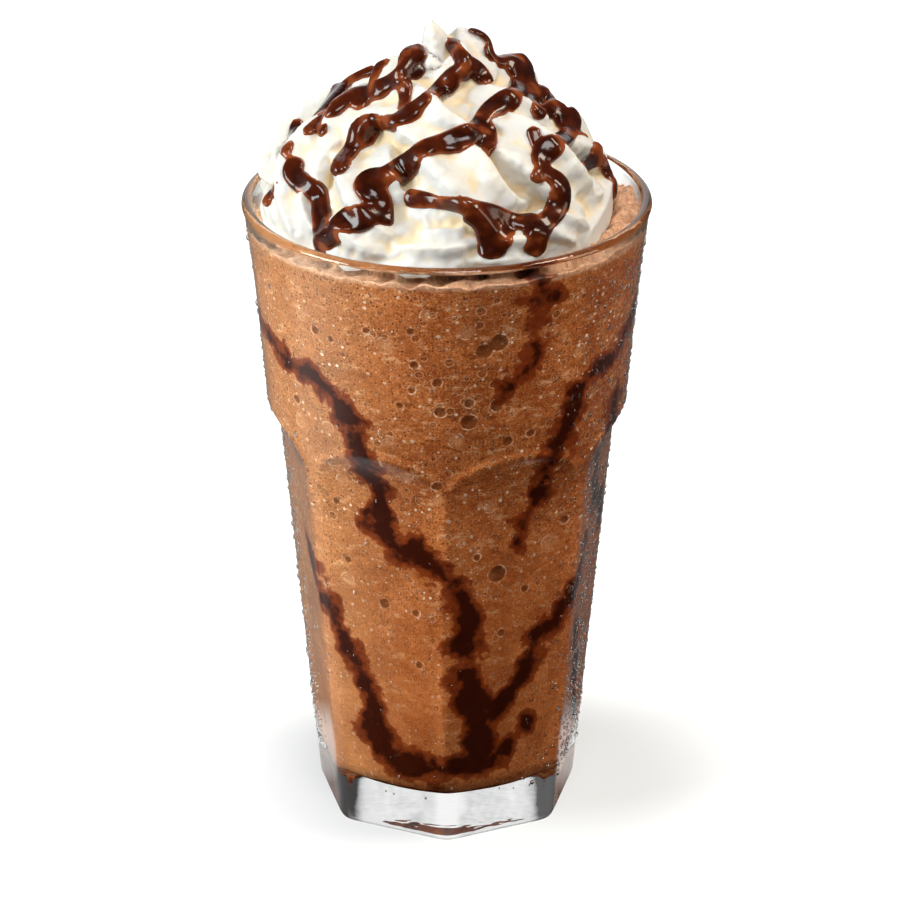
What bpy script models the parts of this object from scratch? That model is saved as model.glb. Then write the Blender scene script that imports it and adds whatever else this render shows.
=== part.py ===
"""Mocha frappe in its tumbler: a pressed glass with seven flat panels under an arched
shoulder, filled with blended coffee, topped with piped whipped cream and chocolate drizzle.

Metres, +Z up.  The glass stands on z = 0 with its axis on Z, and one ridge faces -Y.
"""
import math
import random

import bmesh
import bpy
from mathutils import Matrix, Vector
from mathutils.bvhtree import BVHTree

MM = 0.001
GAP = 0.3 * MM                     # air between pieces that touch

# --- tumbler ---------------------------------------------------------------------------
RIM_HEIGHT = 142.5 * MM
RIM_RADIUS = 44.5 * MM
LIP_THICKNESS = 2.5 * MM
SHOULDER_HEIGHT = 90.5 * MM        # the round upper wall is measured from here
SHOULDER_RADIUS = 38.9 * MM
FLARE_HEIGHT = 24 * MM             # the last stretch below the rim opens a little more
FLARE = 0.9 * MM
PANELS = 7
RIDGE_FOOT_RADIUS = 29.65 * MM      # from the axis to a ridge, at the table
RIDGE_SLOPE = 0.1                  # how fast the ridges lean outward
RUN_OUT_HEIGHT = 83 * MM           # the flats start to curve out into the shoulder here
ARCH_HEIGHT = 95.5 * MM            # top of each arch, at the middle of a panel
RUN_OUT_POWER = 2.6
FOOT_CHAMFER = 1.2 * MM
FLOOR_THICKNESS = 10.5 * MM
CAVITY_FOOT_RADIUS = 25.9 * MM
CAVITY_FOOT_HEIGHT = 14 * MM
CAVITY_WAIST_HEIGHT = 83 * MM      # the cavity's taper opens up above this height
CAVITY_WAIST_RADIUS = 32.2 * MM
CAVITY_CORNER = 5 * MM             # rounding between the cavity's wall and floor
OUTSIDE_HEIGHTS = (130, 112, 99, 96.5, 95, 93.5, 92, 90, 87.5, 84, 70, 45, 20)  # millimetres
SEGMENTS = 56                      # round the tumbler and the drink, eight for each panel

# --- drink -----------------------------------------------------------------------------
DRINK_LEVEL = 139 * MM
FROTH_DIP = 1.8 * MM               # depth of the hollows in the frothy surface
FROTH_INNER = 30 * MM              # the surface is lumpy outside this radius
FROTH_RISE = 1.3 * MM              # it stands higher where the cream leaves it bare
BARE_SIDE = math.radians(-5)       # direction about Z of that side
BARE_WIDTH = math.radians(52)      # half the angle that it covers

# --- whipped cream ---------------------------------------------------------------------
CREAM_UNDERSIDE = DRINK_LEVEL + GAP
CREAM_REACH = 41.1 * MM            # largest radius, just inside the lip
BARE_STRIP = 5.2 * MM              # how far the cream keeps off the glass on the bare side
CORE = ((39, 0.5), (35, 4), (27, 12), (17, 20), (6, 29))  # its solid middle: radius, height above the rim
CREAM_VOXEL = 0.7 * MM
CREAM_TRIANGLES = 9400             # of the mound and its drizzle together
NOZZLE_TEETH = 6
LOBES = 15                         # short lobes round the foot of the mound
LOBE_SEED = 5
LOBE_LENGTH = (0.24, 0.36)         # half the angle that a lobe covers, least and most
LOBE_THICKNESS = (6.0, 7.6)        # its radius, in millimetres
LOBE_LEAN = (-3.0, 5.0)            # how much higher its far end lies
LOBE_LIFT = (-0.5, 3.0)            # height of its middle above the rim
NOZZLE_DEPTH = 0.32                # groove depth as a share of the rope's radius
ROPE_TURNS = 2.75
ROPE_START = 1.3                   # where the coil begins, in radians about Z
ROPE_STEPS = 420
ROPE_TWIST = 3                     # turns of the grooves in each metre of rope
ROPE_THICKNESS = 11.6 * MM         # radius of the rope where it starts
ROPE_THINNING = 3.4 * MM           # lost from it on the way up
COIL_WIDTH = 26 * MM               # the coil tightens by this radius
COIL_CENTRE = 3 * MM               # and ends with this one
COIL_FOOT = 2 * MM                 # height of the rope's middle above the rim, at its start
COIL_RISE = 24.5 * MM
WAVE_LENGTH = 19 * MM              # of the rope's wavering
WAVE_TIGHTENING = 6 * MM
WAVE_OUT = 4.6 * MM                # how far it wavers outward and upward
WAVE_UP = 3.4 * MM
PEAK = Vector((-3.3, 0, 40.6)) * MM  # the tip, from the centre of the rim plane

# --- chocolate drizzle -----------------------------------------------------------------
# Each route is drawn in millimetres on a sheet through the rim's centre, across and up,
# and falls onto the cream along the line from POUR_POINT.
POUR_POINT = Vector((0.7, -1131, 572)) * MM
DRIZZLE_STEP = 1.6 * MM
DRIZZLE_SINK = 0.35                # share of a strand's radius that lies in the cream
DRIZZLE_REACH = 41.1 * MM          # largest radius of a strand, just inside the glass
DRIZZLE_BEADING = 0.14             # how unevenly thick a strand is
STRANDS = [                        # half thickness, swelling at the far end, route
    (2.1, 0.7, [(-5, 36), (-6, 33), (-7.5, 30.5), (-8, 28), (-10, 26.5), (-12, 24.5), (-15, 22.5),
                (-17, 22), (-19.5, 23), (-21, 21.5), (-22.5, 20), (-25, 18.5), (-27, 17),
                (-29, 14.5), (-31, 13)]),
    (1.9, 1.2, [(-8, 28), (-6.5, 26.5), (-6, 25)]),
    (1.5, 1.2, [(-19.5, 22), (-18.5, 20), (-18.5, 18.5)]),
    (1.4, 1.2, [(-27.5, 16), (-26.5, 14), (-27, 12.5)]),
    (1.6, 1.0, [(-9.5, 25.5), (-9, 22.5), (-9.5, 20), (-9, 17.5)]),
    (1.9, 1.1, [(5.5, 25.5), (2.5, 27), (0.5, 25), (-3, 22), (-6, 19.5), (-9, 17), (-12, 15.5),
                (-15, 15.5), (-18, 15), (-20, 12.5), (-21, 9.5), (-23.5, 7.5), (-24, 4)]),
    (1.3, 0.8, [(-15, 15.5), (-16, 13), (-18, 11), (-20, 10.5)]),
    (2.2, 1.3, [(13, 29), (16, 26), (16, 24), (14.5, 21.5), (11.5, 19.5), (8.5, 18), (7.5, 15.5),
                (6, 13.5), (2, 11.5), (-2, 11), (-5, 10), (-7.5, 7.5), (-11, 5), (-15, 4),
                (-17, 4), (-17.5, 1.5), (-15, -0.5), (-14.5, -3.5), (-18, -5), (-21.5, -5.5),
                (-24.5, -8), (-26.5, -10), (-28.5, -11.5)]),
    (1.7, 1.2, [(8, 15.5), (9.5, 13), (8.5, 10.5), (10, 9)]),
    (1.9, 1.2, [(-14.5, 0.5), (-13, -3), (-14, -6.5)]),
    (1.8, 1.1, [(0.5, 34), (2, 31.5), (4, 28.5), (7, 27.5), (9, 24)]),
    (1.9, 0.9, [(9, 33), (10.5, 31.5), (13, 31), (14.5, 28.5), (17, 26), (18, 23), (19.5, 19),
                (21, 16.5)]),
    (2.1, 1.2, [(19.5, 22), (22, 22), (24.5, 22), (26.5, 20), (27.5, 16.5), (27, 13.5),
                (24.5, 11.5), (21.5, 10), (20, 7), (22, 4), (25, 2.5), (25, -1), (23, -4.5),
                (20, -7), (19.5, -10), (19.5, -13.5)]),
    (1.5, 1.0, [(18.5, 15), (19, 12), (20.5, 9.5)]),
    (1.5, 1.2, [(22, 6.5), (19.5, 4.5), (19.5, 2.5)]),
    (1.6, 1.2, [(-9.5, -0.5), (-5, -1), (1, -2), (8, -3), (13, -5), (17, -6), (20.5, -6)]),
    (2.4, 1.1, [(4, -3.5), (7.5, -6.5), (9.5, -10), (10.5, -14)]),
    (2.0, 0.9, [(12.5, -4.5), (12.5, -8), (11.5, -11.5)]),
    (2.1, 1.3, [(-31.5, 8), (-34, 5), (-30.5, 2), (-27.5, 0), (-27.5, -3.5), (-26.5, -6.5),
                (-26.5, -9.5), (-27.5, -11.5)]),
    (1.4, 0.8, [(-36.5, 3), (-38.5, 0), (-40.5, -3)]),
    (1.6, 0.8, [(-31.5, 16.5), (-34, 13), (-35, 8)]),
    (1.4, 0.8, [(-15, 27.5), (-17.5, 26.5), (-21.5, 25), (-23.5, 22.5)]),
    (1.6, 1.1, [(29, 5.5), (32, 7), (34, 8), (35.5, 5), (36.5, 1.5), (38, -1)]),
    (1.3, 0.9, [(31, 10), (32.5, 10.5), (34.5, 9.5)]),
]
BACK_STRANDS = [(0, 165), (5, 200), (7, 176), (12, 150), (15, 188), (18, 215)]


def clear_scene():
    for item in list(bpy.data.objects):
        bpy.data.objects.remove(item)


def new_collection(name):
    group = bpy.data.collections.new(name)
    bpy.context.scene.collection.children.link(group)
    return group


def new_material(name, colour, roughness, transmission=0.0):
    made = bpy.data.materials.new(name)
    made.use_nodes = True
    shader = made.node_tree.nodes["Principled BSDF"]
    shader.inputs["Base Color"].default_value = (*colour, 1.0)
    shader.inputs["Roughness"].default_value = roughness
    shader.inputs["Metallic"].default_value = 0.0
    shader.inputs["Transmission Weight"].default_value = transmission
    return made


def add_object(name, mesh, group):
    made = bpy.data.objects.new(name, mesh)
    group.objects.link(made)
    return made


def evaluated_mesh(item, weld=1e-6):
    """The object's mesh with its modifiers or curve settings applied, seams welded."""
    graph = bpy.context.evaluated_depsgraph_get()
    mesh = bpy.data.meshes.new_from_object(item.evaluated_get(graph))
    welded = bmesh.new()
    welded.from_mesh(mesh)
    bmesh.ops.remove_doubles(welded, verts=welded.verts, dist=weld)
    welded.to_mesh(mesh)
    welded.free()
    return mesh


def turned_mesh(profile, segments):
    """Turn a profile of (radius, height) points about Z.  It starts and ends on the axis."""
    outline = bpy.data.meshes.new("outline")
    edges = [(i, i + 1) for i in range(len(profile) - 1)]
    outline.from_pydata([(radius, 0, height) for radius, height in profile], edges, [])
    lathe = add_object("lathe", outline, bpy.context.scene.collection)
    screw = lathe.modifiers.new("turn", "SCREW")
    screw.steps = segments
    screw.render_steps = segments
    screw.use_merge_vertices = True
    screw.merge_threshold = 0.00001
    mesh = evaluated_mesh(lathe)
    bpy.data.objects.remove(lathe)
    return mesh


def finish_surface(mesh, sharp_degrees):
    mesh.shade_smooth()
    mesh.set_sharp_from_angle(angle=math.radians(sharp_degrees))


# --- tumbler ---------------------------------------------------------------------------
def round_wall_radius(height):
    """Outside radius of the round upper wall, carried on down as a cone."""
    lean = (RIM_RADIUS - FLARE - SHOULDER_RADIUS) / (RIM_HEIGHT - SHOULDER_HEIGHT)
    flare = max(0.0, (height - RIM_HEIGHT + FLARE_HEIGHT) / FLARE_HEIGHT)
    return SHOULDER_RADIUS + lean * (height - SHOULDER_HEIGHT) + FLARE * flare ** 2


def panel_distance(height):
    """Distance from the axis to the flat panels, which curve outward under the shoulder."""
    middle = math.cos(math.pi / PANELS)
    flat = middle * (RIDGE_FOOT_RADIUS + RIDGE_SLOPE * height)
    rise = max(0.0, (height - RUN_OUT_HEIGHT) / (ARCH_HEIGHT - RUN_OUT_HEIGHT))
    top = middle * (RIDGE_FOOT_RADIUS + RIDGE_SLOPE * ARCH_HEIGHT)
    return flat + (round_wall_radius(ARCH_HEIGHT) - top) * rise ** RUN_OUT_POWER


def pressed_radius(angle, height):
    """Outside radius of the tumbler: the round wall, pressed in by the seven panels."""
    pitch = 2 * math.pi / PANELS
    offset = (angle + math.pi / 2) % pitch - pitch / 2
    flat = panel_distance(height) / math.cos(offset)
    return min(round_wall_radius(height), flat)


def cavity_radius(height):
    lower = (CAVITY_WAIST_RADIUS - CAVITY_FOOT_RADIUS) / (CAVITY_WAIST_HEIGHT - CAVITY_FOOT_HEIGHT)
    lip = RIM_RADIUS - LIP_THICKNESS
    upper = (lip - CAVITY_WAIST_RADIUS) / (RIM_HEIGHT - CAVITY_WAIST_HEIGHT)
    slope = upper if height > CAVITY_WAIST_HEIGHT else lower
    return CAVITY_WAIST_RADIUS + slope * (height - CAVITY_WAIST_HEIGHT)


def spread(low, high, count):
    return [low + (high - low) * i / (count - 1) for i in range(count)]


def cavity_profile(inset, corner_steps=4):
    """The cavity's outline from the axis outward and up, stopping below the rim."""
    centre_height = FLOOR_THICKNESS + CAVITY_CORNER
    centre_radius = cavity_radius(centre_height) - CAVITY_CORNER
    corner = CAVITY_CORNER - inset
    points = [(0.0, FLOOR_THICKNESS + inset)]
    for step in range(corner_steps + 1):
        turn = math.pi / 2 * step / corner_steps
        points.append((centre_radius + corner * math.sin(turn),
                       centre_height - corner * math.cos(turn)))
    return points


def glass_mesh():
    inner = cavity_profile(0.0)
    inner += [(cavity_radius(z), z) for z in (CAVITY_WAIST_HEIGHT, RIM_HEIGHT - 5 * MM)]
    lip = LIP_THICKNESS / 2
    rim = []
    for step in range(5):
        turn = math.pi * (1 - step / 4)
        rim.append((RIM_RADIUS - lip + lip * math.cos(turn),
                    RIM_HEIGHT - lip + lip * math.sin(turn)))
    outer = [(round_wall_radius(h * MM), h * MM) for h in OUTSIDE_HEIGHTS]
    outer += [(RIM_RADIUS, FOOT_CHAMFER), (RIM_RADIUS, 0.0), (0.0, 0.0)]
    mesh = turned_mesh(inner + rim + outer, SEGMENTS)
    for vertex in mesh.vertices:
        radius = math.hypot(vertex.co.x, vertex.co.y)
        height = vertex.co.z
        if radius < cavity_radius(height) + LIP_THICKNESS / 4 or height > RIM_HEIGHT - lip:
            continue
        pressed = pressed_radius(math.atan2(vertex.co.y, vertex.co.x), height)
        if height < FOOT_CHAMFER / 2:
            pressed -= FOOT_CHAMFER
        vertex.co.x *= pressed / radius
        vertex.co.y *= pressed / radius
    return mesh


def build_glass(group):
    mesh = glass_mesh()
    finish_surface(mesh, 24)
    glass = add_object("glass", mesh, group)
    mesh.materials.append(new_material("clear_glass", (0.97, 0.98, 0.98), 0.02, 1.0))
    return glass


# --- drink -----------------------------------------------------------------------------
def bareness(angle):
    """1 in the middle of the side where froth shows beside the cream, 0 away from it."""
    off = (angle - BARE_SIDE + math.pi) % (2 * math.pi) - math.pi
    return max(0.0, 1 - (off / BARE_WIDTH) ** 2) ** 1.5


def cream_reach(angle):
    """How far out the cream goes: to the glass, but not on the bare side."""
    return CREAM_REACH - BARE_STRIP * bareness(angle)


def froth_height(angle, radius):
    """Level of the frothy surface: flat under the cream, uneven near the glass."""
    lumps = math.sin(5 * angle + 0.7) + math.sin(11 * angle + 2.1 + radius / (4 * MM))
    near_wall = min(1.0, max(0.0, (radius - FROTH_INNER) / (8 * MM)))
    dip = FROTH_DIP * near_wall * (0.55 + 0.2 * lumps)
    beside_cream = radius > CREAM_REACH - BARE_STRIP + 1 * MM
    rise = FROTH_RISE * (1 + 0.2 * lumps) if beside_cream else 0.0
    bare = bareness(angle)
    return DRINK_LEVEL - (1 - bare) * dip + bare * rise


def build_drink(group):
    edge = cavity_radius(DRINK_LEVEL) - GAP
    profile = cavity_profile(GAP)
    profile += [(CAVITY_WAIST_RADIUS - GAP, CAVITY_WAIST_HEIGHT), (edge, DRINK_LEVEL)]
    profile += [(r, DRINK_LEVEL) for r in spread(edge - 2.5 * MM, FROTH_INNER, 4)]
    profile += [(0.0, DRINK_LEVEL)]
    mesh = turned_mesh(profile[::-1], SEGMENTS)
    for vertex in mesh.vertices:
        if vertex.co.z > DRINK_LEVEL - 0.01 * MM:
            angle = math.atan2(vertex.co.y, vertex.co.x)
            vertex.co.z = froth_height(angle, math.hypot(vertex.co.x, vertex.co.y))
    finish_surface(mesh, 40)
    drink = add_object("drink", mesh, group)
    mesh.materials.append(new_material("blended_coffee", (0.36, 0.17, 0.075), 0.45))
    return drink


# --- whipped cream ---------------------------------------------------------------------
def star_section():
    """Outline of the piping nozzle: a unit circle with soft grooves between its teeth."""
    outline = bpy.data.curves.new("nozzle", "CURVE")
    outline.dimensions = "2D"
    loop = outline.splines.new("POLY")
    count = NOZZLE_TEETH * 8
    loop.points.add(count - 1)
    loop.use_cyclic_u = True
    for i, point in enumerate(loop.points):
        angle = 2 * math.pi * i / count
        groove = math.sqrt(math.sin(angle * NOZZLE_TEETH / 2) ** 2 + 0.04) - 0.2
        radius = 1 - NOZZLE_DEPTH * groove
        point.co = (radius * math.cos(angle), radius * math.sin(angle), 0, 1)
    section = bpy.data.objects.new("nozzle", outline)
    bpy.context.scene.collection.objects.link(section)
    return section


def sweep(points, radii, tilts, section):
    """A closed tube along the points, with the section scaled and turned at each one."""
    curve = bpy.data.curves.new("rope", "CURVE")
    curve.dimensions = "3D"
    curve.bevel_mode = "OBJECT"
    curve.bevel_object = section
    curve.use_fill_caps = True
    spline = curve.splines.new("POLY")
    spline.points.add(len(points) - 1)
    for place, point, radius, tilt in zip(spline.points, points, radii, tilts):
        place.co = (*point, 1)
        place.radius = radius
        place.tilt = tilt
    rope = add_object("rope", curve, bpy.context.scene.collection)
    mesh = evaluated_mesh(rope)
    bpy.data.objects.remove(rope)
    return mesh


def rope_route():
    """The piped rope: a rising, tightening coil that wavers, then a pull up to the peak."""
    points, radii, tilts = [], [], []
    wave = 0.0
    length = 0.0
    for i in range(ROPE_STEPS):
        rise = i / (ROPE_STEPS - 1)
        angle = ROPE_START + 2 * math.pi * ROPE_TURNS * rise
        coil = COIL_CENTRE + COIL_WIDTH * (1 - rise) ** 0.95
        step = 2 * math.pi * ROPE_TURNS / (ROPE_STEPS - 1) * coil
        wave += 2 * math.pi * step / (WAVE_LENGTH - WAVE_TIGHTENING * rise)
        phase = wave + 0.8 * math.sin(1.7 * angle + 4.2) + 0.5 * math.sin(3.1 * angle + 1.1)
        swing = (1 - 0.45 * rise) * (1 + 0.35 * math.sin(2.6 * angle + 0.4))
        radius = coil + WAVE_OUT * swing * math.sin(phase)
        height = COIL_FOOT + COIL_RISE * rise + WAVE_UP * swing * math.cos(phase + 0.5)
        height += 1.0 * MM * math.sin(2.3 * angle + 2.0)
        point = Vector((radius * math.cos(angle), radius * math.sin(angle), RIM_HEIGHT + height))
        length += (point - points[-1]).length if points else 0.0
        points.append(point)
        thickness = ROPE_THICKNESS - ROPE_THINNING * rise
        radii.append(thickness * (1 + 0.1 * math.sin(phase + 1.9)))
        tilts.append(length * ROPE_TWIST * 2 * math.pi)
    top = PEAK + Vector((0, 0, RIM_HEIGHT))
    leaving = (points[-1] - points[-2]).normalized() * 6 * MM + Vector((0, 0, 2 * MM))
    pull = [points[-1], points[-1] + leaving, top - Vector((-0.4, 0, 12)) * MM, top]
    base = radii[-1]
    for i in range(1, 40):
        t = i / 39
        point = sum((w * p for w, p in zip(((1 - t) ** 3, 3 * t * (1 - t) ** 2,
                                            3 * t * t * (1 - t), t ** 3), pull)), Vector())
        length += (point - points[-1]).length
        points.append(point)
        radii.append(base * (1 - t) ** 0.6 + 0.15 * MM)
        tilts.append(length * ROPE_TWIST * 2 * math.pi)
    return points, radii, tilts


def base_lobes():
    """Lobes pressed against the glass all round the foot of the mound, each a short rope."""
    chance = random.Random(LOBE_SEED)
    lobes = []
    for i in range(LOBES):
        angle = 2 * math.pi * (i + chance.uniform(-0.25, 0.25)) / LOBES
        reach = chance.uniform(*LOBE_LENGTH)
        thick = chance.uniform(*LOBE_THICKNESS) * MM
        lean = chance.uniform(*LOBE_LEAN) * MM
        lift = chance.uniform(*LOBE_LIFT) * MM
        points, radii, tilts = [], [], []
        for step in range(15):
            along = step / 7 - 1
            at = angle + reach * along
            out = cream_reach(at) - 0.85 * thick - 2.5 * MM * along ** 2
            points.append(Vector((out * math.cos(at), out * math.sin(at),
                                  RIM_HEIGHT + lift + lean * along)))
            radii.append(thick * (1.02 - along ** 2) ** 0.5)
            tilts.append(along * 1.2 + i)
        lobes.append((points, radii, tilts))
    return lobes


def join_meshes(meshes):
    joined = bmesh.new()
    for mesh in meshes:
        joined.from_mesh(mesh)
    result = bpy.data.meshes.new("joined")
    joined.to_mesh(result)
    joined.free()
    return result


def apply_modifiers(item):
    mesh = evaluated_mesh(item, weld=1e-8)
    old = item.data
    item.data = mesh
    item.modifiers.clear()
    bpy.data.meshes.remove(old)


def fuse(item, voxel, softening):
    """Make one closed skin round everything in the object, a little softened."""
    remesh = item.modifiers.new("fuse", "REMESH")
    remesh.mode = "VOXEL"
    remesh.voxel_size = voxel
    remesh.use_smooth_shade = True
    soften = item.modifiers.new("soften", "SMOOTH")
    soften.factor = 0.5
    soften.iterations = softening
    apply_modifiers(item)


def cream_object(group, voxel):
    """Fuse the ropes and lobes, keep what lies above the drink and inside the glass."""
    section = star_section()
    ropes = [rope_route()] + base_lobes()
    mesh = join_meshes([sweep(*rope, section) for rope in ropes] + [core_mesh()])
    bpy.data.objects.remove(section)
    cream = add_object("whipped_cream", mesh, group)
    fuse(cream, voxel, 3)
    for vertex in cream.data.vertices:
        hold_in_glass(vertex)
    keep_largest_shell(cream.data)
    return cream


def keep_largest_shell(mesh):
    """Fill sealed hollows and drop scraps: only the shell with the most points stays."""
    body = bmesh.new()
    body.from_mesh(mesh)
    left = set(body.verts)
    shells = []
    while left:
        shell = []
        waiting = [left.pop()]
        while waiting:
            vert = waiting.pop()
            shell.append(vert)
            near = {edge.other_vert(vert) for edge in vert.link_edges} & left
            left -= near
            waiting.extend(near)
        shells.append(shell)
    shells.sort(key=len)
    scraps = [vert for shell in shells[:-1] for vert in shell]
    bmesh.ops.delete(body, geom=scraps, context="VERTS")
    body.to_mesh(mesh)
    body.free()


def reduce_triangles(item, triangles):
    count = sum(len(face.vertices) - 2 for face in item.data.polygons)
    lighten = item.modifiers.new("lighten", "DECIMATE")
    lighten.ratio = min(1.0, triangles / count)
    apply_modifiers(item)


def core_mesh():
    """The solid middle of the mound, hidden behind the ropes."""
    profile = [(0.0, CREAM_UNDERSIDE), (CORE[0][0] * MM, CREAM_UNDERSIDE)]
    profile += [(radius * MM, RIM_HEIGHT + height * MM) for radius, height in CORE]
    profile += [(0.0, RIM_HEIGHT + (CORE[-1][1] + 1) * MM)]
    return turned_mesh(profile, 40)


def hold_in_glass(vertex):
    """Press a point of the cream up to the drink's level and in from the glass."""
    radius = math.hypot(vertex.co.x, vertex.co.y)
    reach = cream_reach(math.atan2(vertex.co.y, vertex.co.x))
    if vertex.co.z < CREAM_UNDERSIDE:
        vertex.co.z = CREAM_UNDERSIDE
    if radius > reach:
        vertex.co.x *= reach / radius
        vertex.co.y *= reach / radius


def build_cream(group):
    cream = cream_object(group, CREAM_VOXEL)
    add_drizzle(cream)
    fuse(cream, CREAM_VOXEL, 1)
    for vertex in cream.data.vertices:
        hold_in_glass(vertex)
    keep_largest_shell(cream.data)
    reduce_triangles(cream, CREAM_TRIANGLES)
    finish_surface(cream.data, 60)
    cream.data.materials.append(new_material("whipped_cream", (0.93, 0.89, 0.80), 0.5))
    return cream


# --- chocolate drizzle -----------------------------------------------------------------
def smooth_route(route, step):
    """Points every step or so along a smooth curve through the route's own points."""
    ends = [route[0] * 2 - route[1]] + route + [route[-1] * 2 - route[-2]]
    points = []
    for before, start, stop, after in zip(ends, ends[1:], ends[2:], ends[3:]):
        pieces = max(1, round((stop - start).length / step))
        for i in range(pieces):
            t = i / pieces
            points.append(0.5 * (2 * start + (stop - before) * t
                                 + (2 * before - 5 * start + 4 * stop - after) * t ** 2
                                 + (3 * start - before - 3 * stop + after) * t ** 3))
    return points + [route[-1]]


def fallen_point(sheet_point, turn, surface):
    """Where sauce poured through a point of the sheet lands on the cream."""
    centre = Vector((0, 0, RIM_HEIGHT))
    pour = POUR_POINT.copy()
    toward = (centre - pour).normalized()
    across = toward.cross(Vector((0, 0, 1))).normalized()
    target = centre + across * sheet_point.x + across.cross(toward) * sheet_point.y
    spin = Matrix.Rotation(turn, 4, "Z")
    pour = spin @ pour
    target = spin @ target
    hit = surface.ray_cast(pour, (target - pour).normalized())
    if hit[0] is None:
        hit = surface.find_nearest(target)
    return hit[0]


def draped_strand(strand, turn, surface, step, seed):
    """Centre line and radii of a strand that lies on the cream and bridges its crevices."""
    half, swelling, route = strand
    chance = random.Random(seed)
    first = chance.uniform(0, 6)
    second = chance.uniform(0, 6)
    sheet = smooth_route([Vector(point) * MM for point in route], step)
    points = [fallen_point(point, turn, surface) for point in sheet]
    for _ in range(2):
        middle = [(a + 2 * b + c) / 4 for a, b, c in zip(points, points[1:], points[2:])]
        points = [points[0]] + middle + [points[-1]]
    radii = []
    for i, point in enumerate(points):
        along = i / (len(points) - 1)
        bead = math.sin(first + 2.1 * i * step / MM / half) + math.sin(second + 0.9 * i * step / MM)
        radius = half * (1 + (swelling - 1) * along ** 2) * (1 + DRIZZLE_BEADING * bead / 2)
        radii.append(radius * MM)
    radii[0] *= 0.5
    radii[-1] *= 0.5
    lifted = []
    for point, radius in zip(points, radii):
        spot, normal, _, _ = surface.find_nearest(point)
        clearance = (point - spot).dot(normal)
        centre = spot + normal * max(radius * (1 - 2 * DRIZZLE_SINK), clearance)
        centre.z = max(centre.z, CREAM_UNDERSIDE + radius)
        out = math.hypot(centre.x, centre.y)
        inward = min(1.0, (DRIZZLE_REACH - radius) / out)
        lifted.append(Vector((centre.x * inward, centre.y * inward, centre.z)))
    return lifted, radii


def strand_object(points, radii, sides, group):
    curve = bpy.data.curves.new("strand", "CURVE")
    curve.dimensions = "3D"
    curve.bevel_depth = 1.0
    curve.bevel_resolution = sides
    curve.use_fill_caps = True
    spline = curve.splines.new("POLY")
    spline.points.add(len(points) - 1)
    for place, point, radius in zip(spline.points, points, radii):
        place.co = (*point, 1)
        place.radius = radius
    tube = add_object("strand", curve, group)
    mesh = evaluated_mesh(tube)
    bpy.data.objects.remove(tube)
    return add_object("strand", mesh, group)


def surface_of(item):
    return BVHTree.FromPolygons([v.co.copy() for v in item.data.vertices],
                                [tuple(p.vertices) for p in item.data.polygons])


def add_drizzle(cream):
    """Lay every strand on the cream and join them to it."""
    surface = surface_of(cream)
    strands = new_collection("drizzle_strands")
    laid = [(strand, 0.0) for strand in STRANDS]
    laid += [(STRANDS[index], math.radians(turn)) for index, turn in BACK_STRANDS]
    for seed, (strand, turn) in enumerate(laid):
        points, radii = draped_strand(strand, turn, surface, DRIZZLE_STEP, seed)
        strand_object(points, radii, 1, strands)
    join = cream.modifiers.new("join_drizzle", "BOOLEAN")
    join.operation = "UNION"
    join.operand_type = "COLLECTION"
    join.collection = strands
    join.solver = "EXACT"
    apply_modifiers(cream)
    for item in list(strands.objects):
        bpy.data.objects.remove(item)
    bpy.data.collections.remove(strands)


def main():
    clear_scene()
    part = new_collection("mocha_frappe")
    build_glass(part)
    build_drink(part)
    build_cream(part)


main()
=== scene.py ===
"""Looks of the mocha frappe: a pressed glass tumbler, the blended drink with its bubbles and
sauce streaks, piped cream, glossy chocolate drizzle and condensation.  Metres, +Z up."""
import random
from contextlib import contextmanager
from math import atan2, cos, hypot, pi, radians, sin, sqrt

import bmesh
import bpy
import numpy as np
from mathutils import Matrix, Vector, noise
from mathutils.bvhtree import BVHTree


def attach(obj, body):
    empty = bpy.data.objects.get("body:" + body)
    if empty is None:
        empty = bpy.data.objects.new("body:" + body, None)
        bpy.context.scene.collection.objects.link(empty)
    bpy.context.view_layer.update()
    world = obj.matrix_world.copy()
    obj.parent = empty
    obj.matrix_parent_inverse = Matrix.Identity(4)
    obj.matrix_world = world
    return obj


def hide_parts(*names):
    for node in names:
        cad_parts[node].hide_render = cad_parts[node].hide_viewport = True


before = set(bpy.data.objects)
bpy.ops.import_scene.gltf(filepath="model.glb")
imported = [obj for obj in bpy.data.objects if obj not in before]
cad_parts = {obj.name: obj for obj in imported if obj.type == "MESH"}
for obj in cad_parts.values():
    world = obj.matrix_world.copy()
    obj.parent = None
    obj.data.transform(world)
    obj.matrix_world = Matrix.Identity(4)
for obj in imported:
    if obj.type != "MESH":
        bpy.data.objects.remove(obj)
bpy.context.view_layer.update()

MM = 0.001

# --- camera, fitted to the photo's rim and foot ---
CAMERA_PLACE = (0.0007, -1.131, 0.572)
CAMERA_DOWN = 23.41  # degrees below level
FOCAL_PIXELS = 5580  # focal length in pixels of the 900 pixel frame
FRAME_PIXELS = 900
SENSOR = 36.0
CLIP_START = 0.05

# --- tumbler: the same rules as the solid ---
RIM_HEIGHT = 142.5 * MM
RIM_RADIUS = 44.5 * MM
LIP_THICKNESS = 2.5 * MM
SHOULDER_HEIGHT = 90.5 * MM
SHOULDER_RADIUS = 38.9 * MM
FLARE_HEIGHT = 24 * MM
FLARE = 0.9 * MM
PANELS = 7
PITCH = 2 * pi / PANELS
RIDGE_FOOT_RADIUS = 29.65 * MM
RIDGE_SLOPE = 0.1
RUN_OUT_HEIGHT = 83 * MM
ARCH_HEIGHT = 95.5 * MM
RUN_OUT_POWER = 2.6
RIDGE_ROUNDING = 0.8 * MM  # softness of the ridges between panels
ARCH_ROUNDING = 0.3 * MM  # softness of the arches' upper edge
FOOT_ROUNDING = 1.8 * MM
FLOOR_THICKNESS = 10.5 * MM
CAVITY_FOOT_RADIUS = 25.9 * MM
CAVITY_FOOT_HEIGHT = 14 * MM
CAVITY_WAIST_HEIGHT = 83 * MM
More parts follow.
